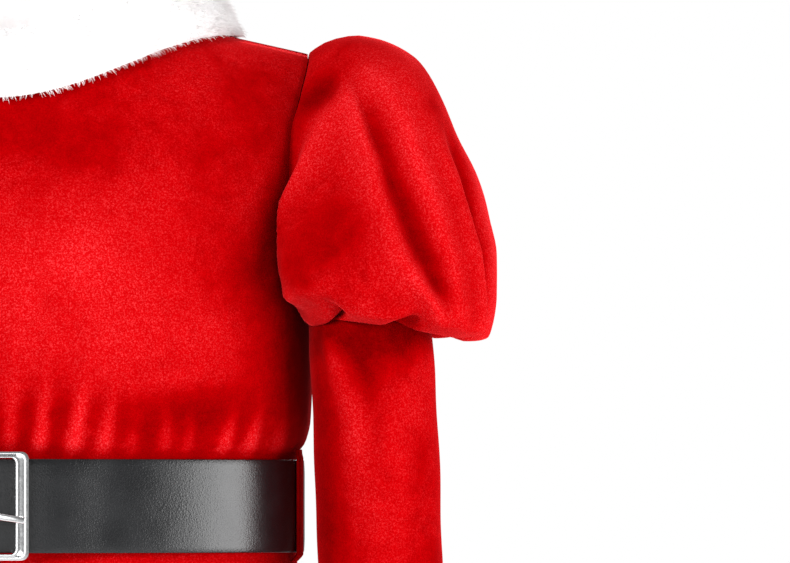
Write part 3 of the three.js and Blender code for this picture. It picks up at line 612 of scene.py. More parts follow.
def make_bodice(name, side, gathers, dents, columns, rows):
    def point_at(u, v):
        return bodice_point(side, gathers, dents, (2 * u - 1) * -side["sign"], v)

    return cloth_piece(name, point_at, columns, rows)


# ---- Skirt ----
FLUTE_DRIFT = {"turn": 1.6, "size": 160}
# Painted light on the skirt: lighter on the flutes' crests and painted shade in their hollows.
FLUTE_LIGHT = {"full_rise": 18, "hollow": -0.8}
SKIRT_WAVES = {"rise": 1.6, "size": 34}
SKIRT_SEAM_TURN = 6
SKIRT_PUCKERS = {"rise": 0.5, "count": 96, "above": 6, "span": 8}
HEM_STITCHING = {"up": 19, "depth": 0.7, "half": 1.8}


def make_skirt(name, side, columns, rows):
    """A flared panel whose flutes open from the belt to the hem, with a turned hem at its foot."""

    def point_at(u, v):
        turn = (2 * u - 1) * 90 * -side["sign"]
        z = HEM_Z + (WAIST_SEAM_Z - SEAM - HEM_Z) * v**1.05
        fall = clamp01((FLUTE_START_Z - z) / (FLUTE_START_Z - HEM_Z))
        opening = ease(fall**0.8)
        flutes = 0.0
        for flute in FLUTES:
            drift = FLUTE_DRIFT["turn"] * soft_noise((flute["turn"], z, 5), FLUTE_DRIFT["size"])
            flutes += flute["rise"] * hump(turn - flute["turn"] - drift, flute["half"])
        half_width = read_table(TORSO, "z", z, "half_width")
        depth = read_table(TORSO, "z", z, side["depth"])
        near_seam = ease((90 - abs(turn)) / SKIRT_SEAM_TURN)
        reach = opening * flutes * near_seam / math.hypot(half_width, depth)
        waves = soft_noise((turn * 4, z * 0.25, side["sign"] * 50), SKIRT_WAVES["size"])
        waves *= SKIRT_WAVES["rise"] * ease(fall * 5) * near_seam
        stitched = HEM_STITCHING["depth"] * hump(z - HEM_Z - HEM_STITCHING["up"], HEM_STITCHING["half"])
        puckers = SKIRT_PUCKERS["rise"] * math.cos(math.radians(turn) * SKIRT_PUCKERS["count"])
        puckers *= (1 - ease(fall * 6)) * near_seam
        puckers *= ease((FLUTE_START_Z + SKIRT_PUCKERS["above"] - z) / SKIRT_PUCKERS["span"])
        reach += (waves - stitched + puckers) / half_width
        place = Vector((
            signed_power(sine(turn), 2 / ROUNDNESS) * half_width * (1 + reach),
            SEAM_PLANE_Y
            + side["sign"] * (SEWN_GAP / 2 + abs(cosine(turn)) ** (2 / ROUNDNESS) * depth * (1 + reach)),
            z,
        ))
        # Painted light and shade from the flutes' and waves' heights.
        nap_and_painted_light = opening * (flutes / FLUTE_LIGHT["full_rise"] + FLUTE_LIGHT["hollow"]) + waves * 0.25
        return place, nap_and_painted_light

    return cloth_piece(name, point_at, columns, rows)


# ---- Puffed sleeve ----
def armhole_edge(side, gathers):
    """The points of the bodice's edge round one half of the armhole, from the underarm up."""
    shares = [step / ARMHOLE_STEPS for step in range(ARMHOLE_STEPS + 1)]
    levels = [ARMHOLE_FIRST_LEVEL + (1 - ARMHOLE_FIRST_LEVEL) * share for share in shares]
    return [bodice_point(side, gathers, [], 1, level)[0] for level in levels]


def armhole_point(edges, turn):
    """The armhole's point at a turn: 90 is the shoulder point, -90 the underarm."""
    edge = edges["front"] if cosine(turn) >= 0 else edges["back"]
    low, high = edge[0].z, edge[-1].z
    z = (low + high) / 2 + (high - low) / 2 * sine(turn)
    row = 0
    while row < len(edge) - 2 and edge[row + 1].z < z:
        row += 1
    return edge[row].lerp(edge[row + 1], clamp01((z - edge[row].z) / (edge[row + 1].z - edge[row].z)))


def clear_of_bodice(point, clearance):
    """Moves a point away from the dress's middle until it clears the bodice."""
    column = "front" if point.y < SEAM_PLANE_Y else "back"
    half_width = read_table(TORSO, "z", point.z, "half_width")
    depth = read_table(TORSO, "z", point.z, column) + clearance
    half = read_table(ARMHOLE, "z", point.z, "half") if point.z > UNDERARM_Z else half_width
    y = point.y - SEAM_PLANE_Y
    section = abs(point.x / (half_width + clearance)) ** ROUNDNESS + abs(y / depth) ** ROUNDNESS
    reach = max(section ** (1 / ROUNDNESS), abs(point.x) / (half + clearance))
    if reach >= 1:
        return point
    return Vector((point.x / reach, SEAM_PLANE_Y + y / reach, point.z))


def puff_fold_rise(turn, share):
    rise = 0.0
    for fold in PUFF_FOLDS:
        to_foot = clamp01(1 - share / PUFF_FOLD_MIDDLE) ** 2
        to_head = clamp01((share - PUFF_FOLD_MIDDLE) / (PUFF_FOLD_HEAD - PUFF_FOLD_MIDDLE)) ** 5
        place = fold["turn"] + fold["foot"] * to_foot + fold["head"] * to_head
        span = ease((share - fold["start"]) / 0.12) * (1 - ease((share - fold["stop"] + 0.2) / 0.2))
        rise += fold["rise"] * span * hump(turn_gap(turn, place), fold["half"])
    return rise


def puff_ring(turn, share):
    """The middle of the puff's ring at a share, and the ring's point at a turn."""
    inner_x, inner_z, outer_x, outer_z, y, half_depth = (
        read_table(PUFF_RINGS, "share", share, column)
        for column in ("inner_x", "inner_z", "outer_x", "outer_z", "y", "half_depth")
    )
    inner, outer = Vector((inner_x, y, inner_z)), Vector((outer_x, y, outer_z))
    middle, half = (inner + outer) / 2, (outer - inner) / 2
    square = 1 - (1 - PUFF_SQUARE) * ease(share / 0.2) * (1 - fade_in(share, 0.85, 0.15))
    point = middle + half * signed_power(sine(turn), square)
    point.y -= half_depth * signed_power(cosine(turn), square)
    return middle, point


def puff_waves(turn, share):
    along, up = turn * PUFF_WAVES["per_turn"], share * PUFF_WAVES["per_share"]
    waves = soft_noise((along, up, 11), PUFF_WAVES["long"])
    waves += 0.5 * soft_noise((along, up, 4), PUFF_WAVES["short"])
    return PUFF_WAVES["rise"] * waves * ease(share / 0.2) * (1 - fade_in(share, 0.8, 0.2))


def hang_puff(point, turn, share):
    """Moves a point of the puff as its weight does: rolled head, sag, overhangs and tuck."""
    roll = PUFF_HEAD_ROLL["depth"] * hump(share - PUFF_HEAD_ROLL["share"], PUFF_HEAD_ROLL["half"])
    point.x -= roll * max(0, cosine(turn - PUFF_HEAD_ROLL["turn"]))
    sag = hump(turn_gap(turn, PUFF_SAG["turn"]), PUFF_SAG["wide"])
    point.z -= PUFF_SAG["drop"] * sag * hump(share - PUFF_SAG["share"], PUFF_SAG["tall"])
    hanging = fade_in(share, 0.13, 0.24) * (1 - fade_in(share, 0.86, 0.14))
    for overhang in PUFF_OVERHANGS:
        point.x -= overhang["reach"] * hanging * hump(turn_gap(turn, overhang["turn"]), overhang["half"])
    low = ease((PUFF_TUCK["from_z"] - point.z) / (PUFF_TUCK["from_z"] - PUFF_TUCK["to_z"]))
    low *= ease(share / 0.15) * hump(turn_gap(turn, PUFF_TUCK["turn"]), PUFF_TUCK["wide"])
    point.x += PUFF_TUCK["inward"] * low


def puff_point(edges, turn, share):
    middle, point = puff_ring(turn, share)
    outward = (point - middle).normalized()
    pucker = hump(turn_gap(turn, PUFF_PUCKER["turn"]), PUFF_PUCKER["half"])
    pucker *= hump(share - PUFF_PUCKER["share"], PUFF_PUCKER["span"])
    worn = puff_waves(turn, share)
    fold = puff_fold_rise(turn, share)
    # Painted light from the folds' and waves' heights, painted shade in the pucker, and stroked pile with
    # painted shadows and highlights.
    nap_and_painted_light = fold / PUFF_LIGHT["full_rise"] + worn * PUFF_LIGHT["waves"] + PUFF_LIGHT["pucker"] * pucker
    nap_and_painted_light += stroked_and_painted_light(PUFF_STROKED_AND_PAINTED_PATCHES, turn_gap, turn, share)
    point += outward * (fold + worn - PUFF_PUCKER["depth"] * pucker)
    for crease in PUFF_CREASES:
        place = crease["turn"] + crease["swing"] * clamp01(share / crease["top"])
        near = hump(turn_gap(turn, place), crease["half"])
        span = ease(share / 0.1) * (1 - ease(share / crease["top"]))
        point -= outward * (crease["depth"] * near * span)
        point.z += crease["lift"] * near * span * 0.9
        # Painted shade in the crease.
        nap_and_painted_light -= crease["depth"] / PUFF_LIGHT["full_crease"] * near * span
    hang_puff(point, turn, share)

    at_armhole = fade_in(share, 0.9, 0.1)
    point = point.lerp(armhole_point(edges, turn) + Vector((SEWN_GAP, 0, 0)), at_armhole)
    # Painted highlight and shadow at the lower edge, and painted shade at the armhole.
    nap_and_painted_light += sum(edge["light"] * hump(share - edge["share"], edge["half"]) for edge in PUFF_EDGE_LIGHTS)
    nap_and_painted_light += PUFF_LIGHT["armhole"] * at_armhole
    return clear_of_bodice(point, PUFF_CLEAR * (1 - at_armhole)), nap_and_painted_light


def make_puff(name, columns, rows):
    edges = {"front": armhole_edge(FRONT, FRONT_GATHERS), "back": armhole_edge(BACK, BACK_GATHERS)}
    return cloth_piece(name, lambda u, v: puff_point(edges, 360 * u, v), columns, rows, closed=True)


# ---- Long sleeve ----
SLEEVE_WAVES = {"rise": 1.0, "size": 30, "per_turn": 0.9, "per_length": 0.7}
CUFF_STITCHING = {"up": 19, "depth": 0.6, "half": 1.6}
# Painted light on the sleeve: lighter on fold crests, darker all over, a painted shadow under the puff
# over a length, and a floor to the painted shade.
SLEEVE_LIGHT = {"full_rise": 4, "all_over": -0.35, "under_puff": -1.6, "under_length": 34, "least": -1.5}


def sleeve_fold_rise(turn, z, top_z):
    rise = 0.0
    for row in SLEEVE_FOLDS:
        share = (row["top_z"] - z) / (row["top_z"] - row["foot_z"])
        place = row["turn_top"] + (row["turn_foot"] - row["turn_top"]) * clamp01(share)
        span = ease(share / 0.12) if row["top_z"] > top_z - 10 else math.sin(math.pi * clamp01(share))
        rise += row["rise"] * span * (1 - ease(share)) * hump(turn_gap(turn, place), row["half"])
    return rise


def sleeve_point(turn, z):
    def read(column, place=z):
        return read_table(SLEEVE, "z", place, column)

    step = 4
    tangent = Vector((
        read("x", z + step) - read("x", z - step),
        read("y", z + step) - read("y", z - step),
        2 * step,
    )).normalized()
    across = (Vector((1, 0, 0)) - tangent * tangent.x).normalized()
    forward = across.cross(tangent)
    top_z, cuff_z = SLEEVE[0]["z"], SLEEVE[-1]["z"]
    fold = sleeve_fold_rise(turn, z, top_z)
    free = ease((top_z - z) / 20) * ease((z - cuff_z) / 12)
    along, up = turn * SLEEVE_WAVES["per_turn"], z * SLEEVE_WAVES["per_length"]
    fold += SLEEVE_WAVES["rise"] * soft_noise((along, up, 21), SLEEVE_WAVES["size"]) * free
    fold -= CUFF_STITCHING["depth"] * hump(z - cuff_z - CUFF_STITCHING["up"], CUFF_STITCHING["half"])
    # Painted shadow under the puff, painted light from the folds, and stroked pile with painted shadows.
    near_puff = 1 - ease((top_z - z) / SLEEVE_LIGHT["under_length"])
    nap_and_painted_light = fold / SLEEVE_LIGHT["full_rise"] + SLEEVE_LIGHT["all_over"]
    nap_and_painted_light += SLEEVE_LIGHT["under_puff"] * near_puff + stroked_and_painted_light(SLEEVE_STROKED_AND_PAINTED_PATCHES, turn_gap, turn, z)
    nap_and_painted_light = max(SLEEVE_LIGHT["least"], nap_and_painted_light)
    place = (
        Vector((read("x"), read("y"), z))
        + across * (sine(turn) * (read("half_width") + fold))
        + forward * (cosine(turn) * (read("half_depth") + fold))
    )
    return place, nap_and_painted_light


def make_sleeve(name, columns, rows):
    top_z, cuff_z = SLEEVE[0]["z"] + SEAM, SLEEVE[-1]["z"]

    def point_at(u, v):
        return sleeve_point(360 * u, cuff_z + (top_z - cuff_z) * v)

    return cloth_piece(name, point_at, columns, rows, closed=True)


# ---- Materials ----
def linear(colour):
    """An sRGB hex colour as linear values."""
    parts = [int(colour[start : start + 2], 16) / 255 for start in (1, 3, 5)]
    straight = [part / 12.92 if part <= 0.04045 else ((part + 0.055) / 1.055) ** 2.4 for part in parts]
    return (*straight, 1.0)


def new_finish(name):
    material = bpy.data.materials.new(name)
    material.use_nodes = True
    return material, material.node_tree, material.node_tree.nodes["Principled BSDF"]


def plug_in(tree, node, inputs):
    """Sets a node's inputs. An input is a value, or a socket that it is linked to."""
    for key, value in inputs.items():
        if isinstance(value, bpy.types.NodeSocket):
            tree.links.new(value, node.inputs[key])
        else:
            node.inputs[key].default_value = value


def add_node(tree, kind, inputs=None, stops=(), **settings):
    """A node with its inputs and settings, and with its stops of (place, colour) where it is a ramp."""
    made = tree.nodes.new("ShaderNode" + kind)
    for key, value in settings.items():
        setattr(made, key, value)
    plug_in(tree, made, inputs or {})
    if stops:
        points = made.color_ramp.elements
        while len(points) < len(stops):
            points.new(0.5)
        for point, (place, colour) in zip(points, stops):
            point.position = place
            point.color = colour
    return made


def per_metre(size_mm):
    """The scale of a pattern whose features are one size apart."""
    return 1 / (size_mm * MM)


def grey(level):
    return (level, level, level, 1.0)


# Stretch velvet, knitted polyester with a brushed pile of about 1 mm. The pile gives a deep red face, a
# soft light bloom where it turns away, and cloudy patches. The red is also painted darker and lighter
# from the cloth's attribute, painted shade in folds, creases and shadows and painted highlight on crests,
# and a fine pinkish speckle is a painted highlight on the pile tips, strongest on stroked patches and
# crests. The speckle is drawn at 1.2 mm, coarser than the tufts of real pile, so that it shows.
def velvet_finish():
    material, tree, shader = new_finish("stretch_velvet")
    place = add_node(tree, "TexCoord").outputs["Object"]
    nap_and_painted_light = add_node(tree, "Attribute", attribute_name="nap_and_painted_light").outputs["Fac"]
    cloud, stroke, speckle = (
        add_node(tree, "TexNoise", {"Vector": place, **pattern}).outputs["Fac"]
        for pattern in (
            {"Scale": per_metre(54), "Detail": 3.0, "Roughness": 0.6, "Distortion": 0.6},
            {"Scale": per_metre(8), "Detail": 3.0, "Roughness": 0.62},
            {"Scale": per_metre(1.2), "Detail": 2.0, "Roughness": 0.8},
        )
    )

    def weigh_up(total, *parts):
        """A total to which each part is added, times its weight."""
        for part, weight in parts:
            inputs = {0: part, 1: weight, 2: total}
            total = add_node(tree, "Math", inputs, operation="MULTIPLY_ADD").outputs[0]
        return total

    # The red is darkened and lightened by the attribute's painted shade and light, and varies at random.
    tone = weigh_up(0.15, (speckle, 0.26), (stroke, 0.16), (cloud, 0.24), (nap_and_painted_light, 0.16))
    reds = (
        (0.05, linear("#2C0000")), (0.26, linear("#6C0001")), (0.4, linear("#8C0002")),
        (0.5, linear("#A20104")), (0.62, linear("#AF0408")), (0.78, linear("#BE0C12")),
    )
    base = add_node(tree, "ValToRGB", {"Fac": tone}, reds).outputs["Color"]
    # Painted highlight: a pinkish speckle on the pile tips where the cloud and the attribute's painted
    # light are high.
    speckle_highlight = weigh_up(-0.46, (cloud, 1.3), (nap_and_painted_light, 0.6))
    ends = ((0.5, grey(0.0)), (0.74, grey(1.0)))
    tips = add_node(tree, "ValToRGB", {"Fac": speckle}, ends).outputs["Color"]
    lit = add_node(tree, "Math", {0: speckle_highlight, 1: tips}, operation="MULTIPLY", use_clamp=True).outputs[0]
    shades = {"Factor": lit, "A": base, "B": linear("#D43C40")}
    bump = {"Height": stroke, "Strength": 0.3, "Distance": 0.5 * MM}
    brushed = add_node(tree, "Bump", bump).outputs["Normal"]
    bump = {"Height": speckle, "Strength": 0.5, "Distance": 0.35 * MM, "Normal": brushed}
    plug_in(tree, shader, {
        "Base Color": add_node(tree, "Mix", shades, data_type="RGBA").outputs["Result"],
        "Normal": add_node(tree, "Bump", bump).outputs["Normal"],
        "Roughness": 0.9,
        "IOR": 1.4,
        "Specular IOR Level": 0.0,
        "Sheen Weight": 0.5,
        "Sheen Roughness": 0.3,
        "Sheen Tint": linear("#FF4044"),
    })
    return material


# Faux fur, white acrylic fibre. It scatters light softly, so it has no shine. Its white is mottled with
# pale grey by a noise, a painted soft shade between the tufts. Its fine relief is drawn at 1.6 mm,
# coarser than real fibres, so that it shows.
def fur_finish(name, tips):
    material, tree, shader = new_finish(name)
    place = add_node(tree, "TexCoord").outputs["Object"]
    tuft, relief = (
        add_node(tree, "TexNoise", {"Vector": place, "Detail": 3.0, **pattern}).outputs["Fac"]
        for pattern in (
            {"Scale": per_metre(14), "Roughness": 0.6},
            {"Scale": per_metre(1.6), "Roughness": 0.7},
        )
    )
    whites = ((0.3, linear("#ECEAEA")), (0.65, linear(tips)))
    bump = {"Height": relief, "Strength": 0.6, "Distance": 0.8 * MM}
    plug_in(tree, shader, {
        "Base Color": add_node(tree, "ValToRGB", {"Fac": tuft}, whites).outputs["Color"],
        "Normal": add_node(tree, "Bump", bump).outputs["Normal"],
        "Roughness": 0.95,
        "IOR": 1.5,
        "Specular IOR Level": 0.1,
        "Sheen Weight": 0.35,
        "Sheen Roughness": 0.5,
        "Sheen Tint": linear("#FFFFFF"),
    })
    return material


# Polyurethane leather, embossed with a fine grain and lacquered to a satin. Its grain breaks a highlight
# into a soft speckled band. The grain is drawn at 1.8 mm, coarser than real, so that it shows.
def leather_finish():
    material, tree, shader = new_finish("polyurethane_leather")
    place = add_node(tree, "TexCoord").outputs["Object"]
    grain = {"Vector": place, "Scale": per_metre(1.8), "Randomness": 1.0}
    cells = add_node(tree, "TexVoronoi", grain, feature="DISTANCE_TO_EDGE").outputs["Distance"]
    wide, worn = (
        add_node(tree, "TexNoise", {"Vector": place, **pattern}).outputs["Fac"]
        for pattern in (
            {"Scale": per_metre(26), "Detail": 2.0},
            {"Scale": per_metre(2.2), "Detail": 3.0, "Roughness": 0.7},
        )
    )
    blacks = ((0.35, linear("#0C0D0F")), (0.68, linear("#131416")))
    gloss = ((0.3, grey(0.28)), (0.7, grey(0.34)))
    bump = {"Height": cells, "Strength": 0.5, "Distance": 0.25 * MM}
    embossed = add_node(tree, "Bump", bump).outputs["Normal"]
    bump = {"Height": worn, "Strength": 0.4, "Distance": 0.3 * MM, "Normal": embossed}
    plug_in(tree, shader, {
        "Base Color": add_node(tree, "ValToRGB", {"Fac": wide}, blacks).outputs["Color"],
        "Roughness": add_node(tree, "ValToRGB", {"Fac": wide}, gloss).outputs["Color"],
        "Normal": add_node(tree, "Bump", bump).outputs["Normal"],
        "IOR": 1.5,
    })
    return material


# Zinc alloy, cast, polished and nickel plated. Near mirror, with faint polishing marks, drawn at 3 mm,
# coarser than real, so that they show.
def nickel_finish():
    material, tree, shader = new_finish("nickel_plated_zinc")
    place = add_node(tree, "TexCoord").outputs["Object"]
    pattern = {"Vector": place, "Scale": per_metre(3.0), "Detail": 4.0, "Roughness": 0.65}
    marks = add_node(tree, "TexNoise", pattern).outputs["Fac"]
    gloss = ((0.3, grey(0.14)), (0.75, grey(0.24)))
    bump = {"Height": marks, "Strength": 0.05, "Distance": 0.05 * MM}
    plug_in(tree, shader, {
        "Base Color": linear("#DCDDDE"),
        "Metallic": 1.0,
        "Roughness": add_node(tree, "ValToRGB", {"Fac": marks}, gloss).outputs["Color"],
        "Normal": add_node(tree, "Bump", bump).outputs["Normal"],
    })
    return material


def dress_in(piece, material, slot, *nodes):
    """Gives a finished piece its material, hangs it on the root body and hides the frame's parts that it
    stands for.
    """
    piece.data.materials.clear()
    piece.data.materials.append(material)
    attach(piece, "root")
    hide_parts(*nodes)


velvet = velvet_finish()
fur_ground = fur_finish("faux_fur_ground", "#F6F5F5")
fur_fibre = fur_finish("faux_fur_fibre", "#FFFFFF")
leather = leather_finish()
nickel = nickel_finish()


# ---- The cloth ----
bodice_front = make_bodice(
    "bodice_front_cloth", FRONT, FRONT_GATHERS, FRONT_DENTS, columns=230, rows=84
)
bodice_back = make_bodice("bodice_back_cloth", BACK, BACK_GATHERS, BACK_DENTS, columns=170, rows=64)
skirt_front = make_skirt("skirt_front_cloth", FRONT, columns=200, rows=48)
skirt_back = make_skirt("skirt_back_cloth", BACK, columns=200, rows=48)
puff_left = make_puff("puff_left_cloth", columns=190, rows=72)
sleeve_left = make_sleeve("sleeve_left_cloth", columns=96, rows=90)
puff_right = mirrored_piece(puff_left, "puff_right_cloth")
sleeve_right = mirrored_piece(sleeve_left, "sleeve_right_cloth")

for piece in (
    bodice_front, bodice_back, skirt_front, skirt_back, puff_left, puff_right, sleeve_left, sleeve_right,
):
    dress_in(piece, velvet, "velvet", piece.name.removesuffix("_cloth"))


# ---- Collar: two halves of a fur band, each a ground with its pile ----
COLLAR_LEVELS = [0, 0.06, 0.14, 0.24, 0.36, 0.48, 0.6, 0.72, 0.84, 0.93, 0.97]
COLLAR_RISE = {"inward": 0.5, "up": 0.92}
# The pile's length over the band's height: least at the edges, as a share, and crowned between them.
PILE_LEAST, PILE_EDGE, PILE_LAST = 0.15, 0.07, 0.93
GROUND_SHARE = 0.62
# Fibres are drawn 0.42 mm thick, coarser than real ones, so that they show.
STRANDS_A_HALF = 17000
STRAND_LENGTH = 8.5
STRAND_WIDTH = 0.42
STRAND_ROOT = 0.1
STRAND_SIDES = 3
STRAND_TAPER = 0.7
# How the fibres lie: the sizes of the tufts and of the patches that lean together, how far they lean
# along the band and fall down it, how far each strays, and how that turns from the root to the tip.
TUFT_SIZE, PATCH_SIZE = 9, 17
LEAN = {"patch": 0.55, "stray": 0.25}
FALL = {"all": -0.25, "low": -0.45, "from_top": 0.8, "top": 0.7, "tuft": 0.3, "stray": 0.3}
LENGTH = {"least": 0.6, "most": 1.05, "sparse": 0.86, "tuft": 0.3}
BEND = {"at": 0.55, "root": 0.6, "tip": 1.5, "tip_out": 0.75}
# The turns between a half's first edge and its first strand, and from its first strand to its last.
PILE_MARGIN, PILE_SPAN = 0.6, 178.8


def collar_edge(side, turn):
    x = COLLAR_HALF * sine(turn)
    drop = side["collar_drop"] * (1 - ease(abs(x) / COLLAR_HALF) ** 1.15)
    return Vector((x, SEAM_PLANE_Y + side_depth(side, x, -drop), 1 - drop))


def collar_point(side, turn, height, pile_share):
    """A point of the collar's band. A pile share of 0 is on its inner face, and 1 on the pile's tips."""
    outward = Vector((sine(turn), -cosine(turn), 0)).normalized()
    inward = -COLLAR_RISE["inward"] * sine(turn)
    upward = Vector((inward, side["collar_lean"] * cosine(turn), COLLAR_RISE["up"])).normalized()
    crown = math.sin(math.pi * min(PILE_LAST, height + PILE_EDGE)) ** 0.5
    longest = COLLAR_SIDE_PILE + (COLLAR_PILE - COLLAR_SIDE_PILE) * cosine(turn) ** 2
    pile = longest * (PILE_LEAST + (1 - PILE_LEAST) * crown) * pile_share
    return collar_edge(side, turn) + upward * (height * COLLAR_HEIGHT) + outward * (COLLAR_EASE + pile)


def make_collar_ground(name, side, first_turn, steps):
    """The knitted ground with the dense part of the pile, as a closed band."""
    count = len(COLLAR_LEVELS)
    section = 2 * count
    points = []
    for step in range(steps + 1):
        turn = first_turn + 180 * step / steps
        for level in COLLAR_LEVELS:
            along, up = turn * 2.6, level * 50
            tuft = 0.10 * soft_noise((along, up, 8), 7) + 0.12 * soft_noise((along, up, 2), 20)
            points.append(collar_point(side, turn, level, GROUND_SHARE + tuft))
        for level in reversed(COLLAR_LEVELS):
            points.append(collar_point(side, turn, level, 0))
    faces = []
    for step in range(steps):
        for row in range(section):
            low, high = step * section, (step + 1) * section
            following = (row + 1) % section
            faces.append((low + row, high + row, high + following, low + following))
    last = steps * section
    for row in range(count - 1):
        across = section - 1 - row
        faces.append((row, row + 1, across - 1, across))
        faces.append((last + across, last + across - 1, last + row + 1, last + row))
    return new_piece(name, points, faces)


def add_strand(points, faces, rings, tip):
    """A tapered fibre through rings of (centre, half width, two directions across it), up to its tip."""
    start = len(points)
    for centre, half, along, up in rings:
        for corner in range(STRAND_SIDES):
            angle = 360 / STRAND_SIDES * corner
            points.append(centre + (along * cosine(angle) + up * sine(angle)) * half)
    points.append(tip)
    upper, end = start + STRAND_SIDES, start + 2 * STRAND_SIDES
    for corner in range(STRAND_SIDES):
        following = (corner + 1) % STRAND_SIDES
        faces.append((start + corner, start + following, upper + following, upper + corner))
        faces.append((upper + corner, upper + following, end))
    faces.append((start + 2, start + 1, start))


def make_collar_pile(name, side, first_turn, seed):
    """Fibres with one bend, leaning down and along the band in loose tufts."""
    draw = random.Random(seed)
    points, faces = [], []
    for _ in range(STRANDS_A_HALF):
        turn = first_turn + PILE_MARGIN + PILE_SPAN * draw.random()
        level = 0.965 * draw.random() ** 0.92
        root, beside, above, below = (
            collar_point(side, place, height, GROUND_SHARE - STRAND_ROOT)
            for place, height in (
                (turn, level),
                (turn + 0.4, level),
                (turn, min(COLLAR_LEVELS[-1], level + 0.03)),
                (turn, max(0, level - 0.03)),
            )
        )
        along = (beside - root).normalized()
        up = (above - below).normalized()
        out = along.cross(up).normalized()
        tuft = soft_noise(root, TUFT_SIZE, seed)
        lean = LEAN["patch"] * soft_noise(root, PATCH_SIZE, seed + 3)
        lean += draw.uniform(-LEAN["stray"], LEAN["stray"])
        at_top = max(0, level - FALL["from_top"]) * 5
        fall = FALL["all"] + FALL["low"] * (1 - level) + FALL["top"] * at_top + FALL["tuft"] * tuft
        fall += draw.uniform(-FALL["stray"], FALL["stray"])
        length = STRAND_LENGTH * draw.uniform(LENGTH["least"], LENGTH["most"])
        length *= LENGTH["sparse"] + LENGTH["tuft"] * tuft
        first = out + along * lean * BEND["root"] + up * fall * BEND["root"]
        second = out * BEND["tip_out"] + along * lean * BEND["tip"] + up * fall * BEND["tip"]
        middle = root + first.normalized() * length * BEND["at"]
        tip = middle + second.normalized() * length * (1 - BEND["at"])
        half = STRAND_WIDTH / 2
        rings = ((root, half, along, up), (middle, half * STRAND_TAPER, along, up))
        add_strand(points, faces, rings, tip)
    return new_piece(name, points, faces, smooth=False)


for half, side, first_turn, seed in (("front", FRONT, -90, 11), ("back", BACK, 90, 12)):
    ground = make_collar_ground(f"collar_{half}_ground", side, first_turn, steps=150)
    pile = make_collar_pile(f"collar_{half}_pile", side, first_turn, seed)
    dress_in(ground, fur_ground, "fur", f"collar_fur_{half}")
    dress_in(pile, fur_fibre, "fur", f"collar_fur_{half}")


# ---- Belt and its carriers ----
BELT_LIFT_TURN = {"start": 340, "over": 12}
STRAP_EDGE = {"rolled": 0.45, "half": 0.05}
STRAP_SWAY = {"rise": 0.25, "size": 60, "per_turn": 3.6, "per_share": 30}
STRAP_BEVEL = 0.6


def make_strap():
    """From the buckle's rod round the right side and the back, with its tail on its own start."""
    first_turn, last_turn = -1.4, -360 - BELT_TAIL_TURN

    def point_at(u, v):
        turn = last_turn + (first_turn - last_turn) * u
        lifted = fade_in(-turn, BELT_LIFT_TURN["start"], BELT_LIFT_TURN["over"]) * BELT_BUCKLE_LIFT
        edge = STRAP_EDGE["rolled"] * (hump(v, STRAP_EDGE["half"]) + hump(v - 1, STRAP_EDGE["half"]))
        waved = (turn * STRAP_SWAY["per_turn"], v * STRAP_SWAY["per_share"], 31)
        sway = STRAP_SWAY["rise"] * soft_noise(waved, STRAP_SWAY["size"])
        lift = BELT_EASE + lifted + BELT_THICKNESS - edge + sway
        return waist_point(turn, BELT_TOP_Z - BELT_WIDTH * (1 - v), lift), 0

    strap = cloth_piece("belt_strap_leather", point_at, columns=300, rows=14, thick=BELT_THICKNESS)
    round_edges(strap, STRAP_BEVEL, segments=2, sharp=50)
    return strap


def make_carrier(name):
    """A narrow folded velvet strip, stitched down above and below the belt."""
    half_turn, rise = 2.4, 7
    raised = BELT_EASE + BELT_THICKNESS + CLOTH + SEAM * 2
    end = CLOTH + 3 * SEAM
    path = table(
        "share z lift",
        (0.00, BELT_TOP_Z - BELT_WIDTH - rise, end),
        (0.06, BELT_TOP_Z - BELT_WIDTH - rise + 4, raised - 1),
        (0.11, BELT_TOP_Z - BELT_WIDTH - 1, raised),
        (0.15, BELT_TOP_Z - BELT_WIDTH + 1.5, raised),
        (0.86, BELT_TOP_Z - 1.5, raised),
        (0.90, BELT_TOP_Z + 1, raised),
        (0.95, BELT_TOP_Z + rise - 4, raised - 0.6),
        (1.00, BELT_TOP_Z + rise, end + 2),
    )

    def point_at(u, v):
        z = read_table(path, "share", v, "z")
        lift = read_table(path, "share", v, "lift")
        # Painted shade on the strip's rolled edges.
        rolled = 0.5 * (2 * u - 1) ** 4
        return waist_point(CARRIER_TURN + half_turn * (2 * u - 1), z, lift + 0.3 - rolled), -rolled

    return cloth_piece(name, point_at, columns=12, rows=60)


strap = make_strap()
dress_in(strap, leather, "belt_leather", "belt_strap")

carrier_left = make_carrier("belt_carrier_left_cloth")
carrier_right = mirrored_piece(carrier_left, "belt_carrier_right_cloth")
dress_in(carrier_left, velvet, "velvet", "belt_carrier_left")
dress_in(carrier_right, velvet, "velvet", "belt_carrier_right")


# ---- Buckle, modelled in edit mode ----
BUCKLE_WIDTH, BUCKLE_HEIGHT = 52, 72.6
BUCKLE_SIDE_BAR, BUCKLE_END_BAR = 9, 4.2
BUCKLE_CORNER, BUCKLE_THICK, BUCKLE_ROD = 5, 4, 2
BUCKLE_CORNER_STEPS = 6
BUCKLE_CLEAR = 0.4
ROD_SIDES = 24
# The posts that hold the rod: their radius as a share of the rod's, and how far they run into the frame.
POST_SHARE, POST_SINK = 0.9, 1
# The depth at which the section starts, and the small inset that makes each new ring.
BUCKLE_FIRST_DEPTH, BUCKLE_INSET = 0.9, 0.02
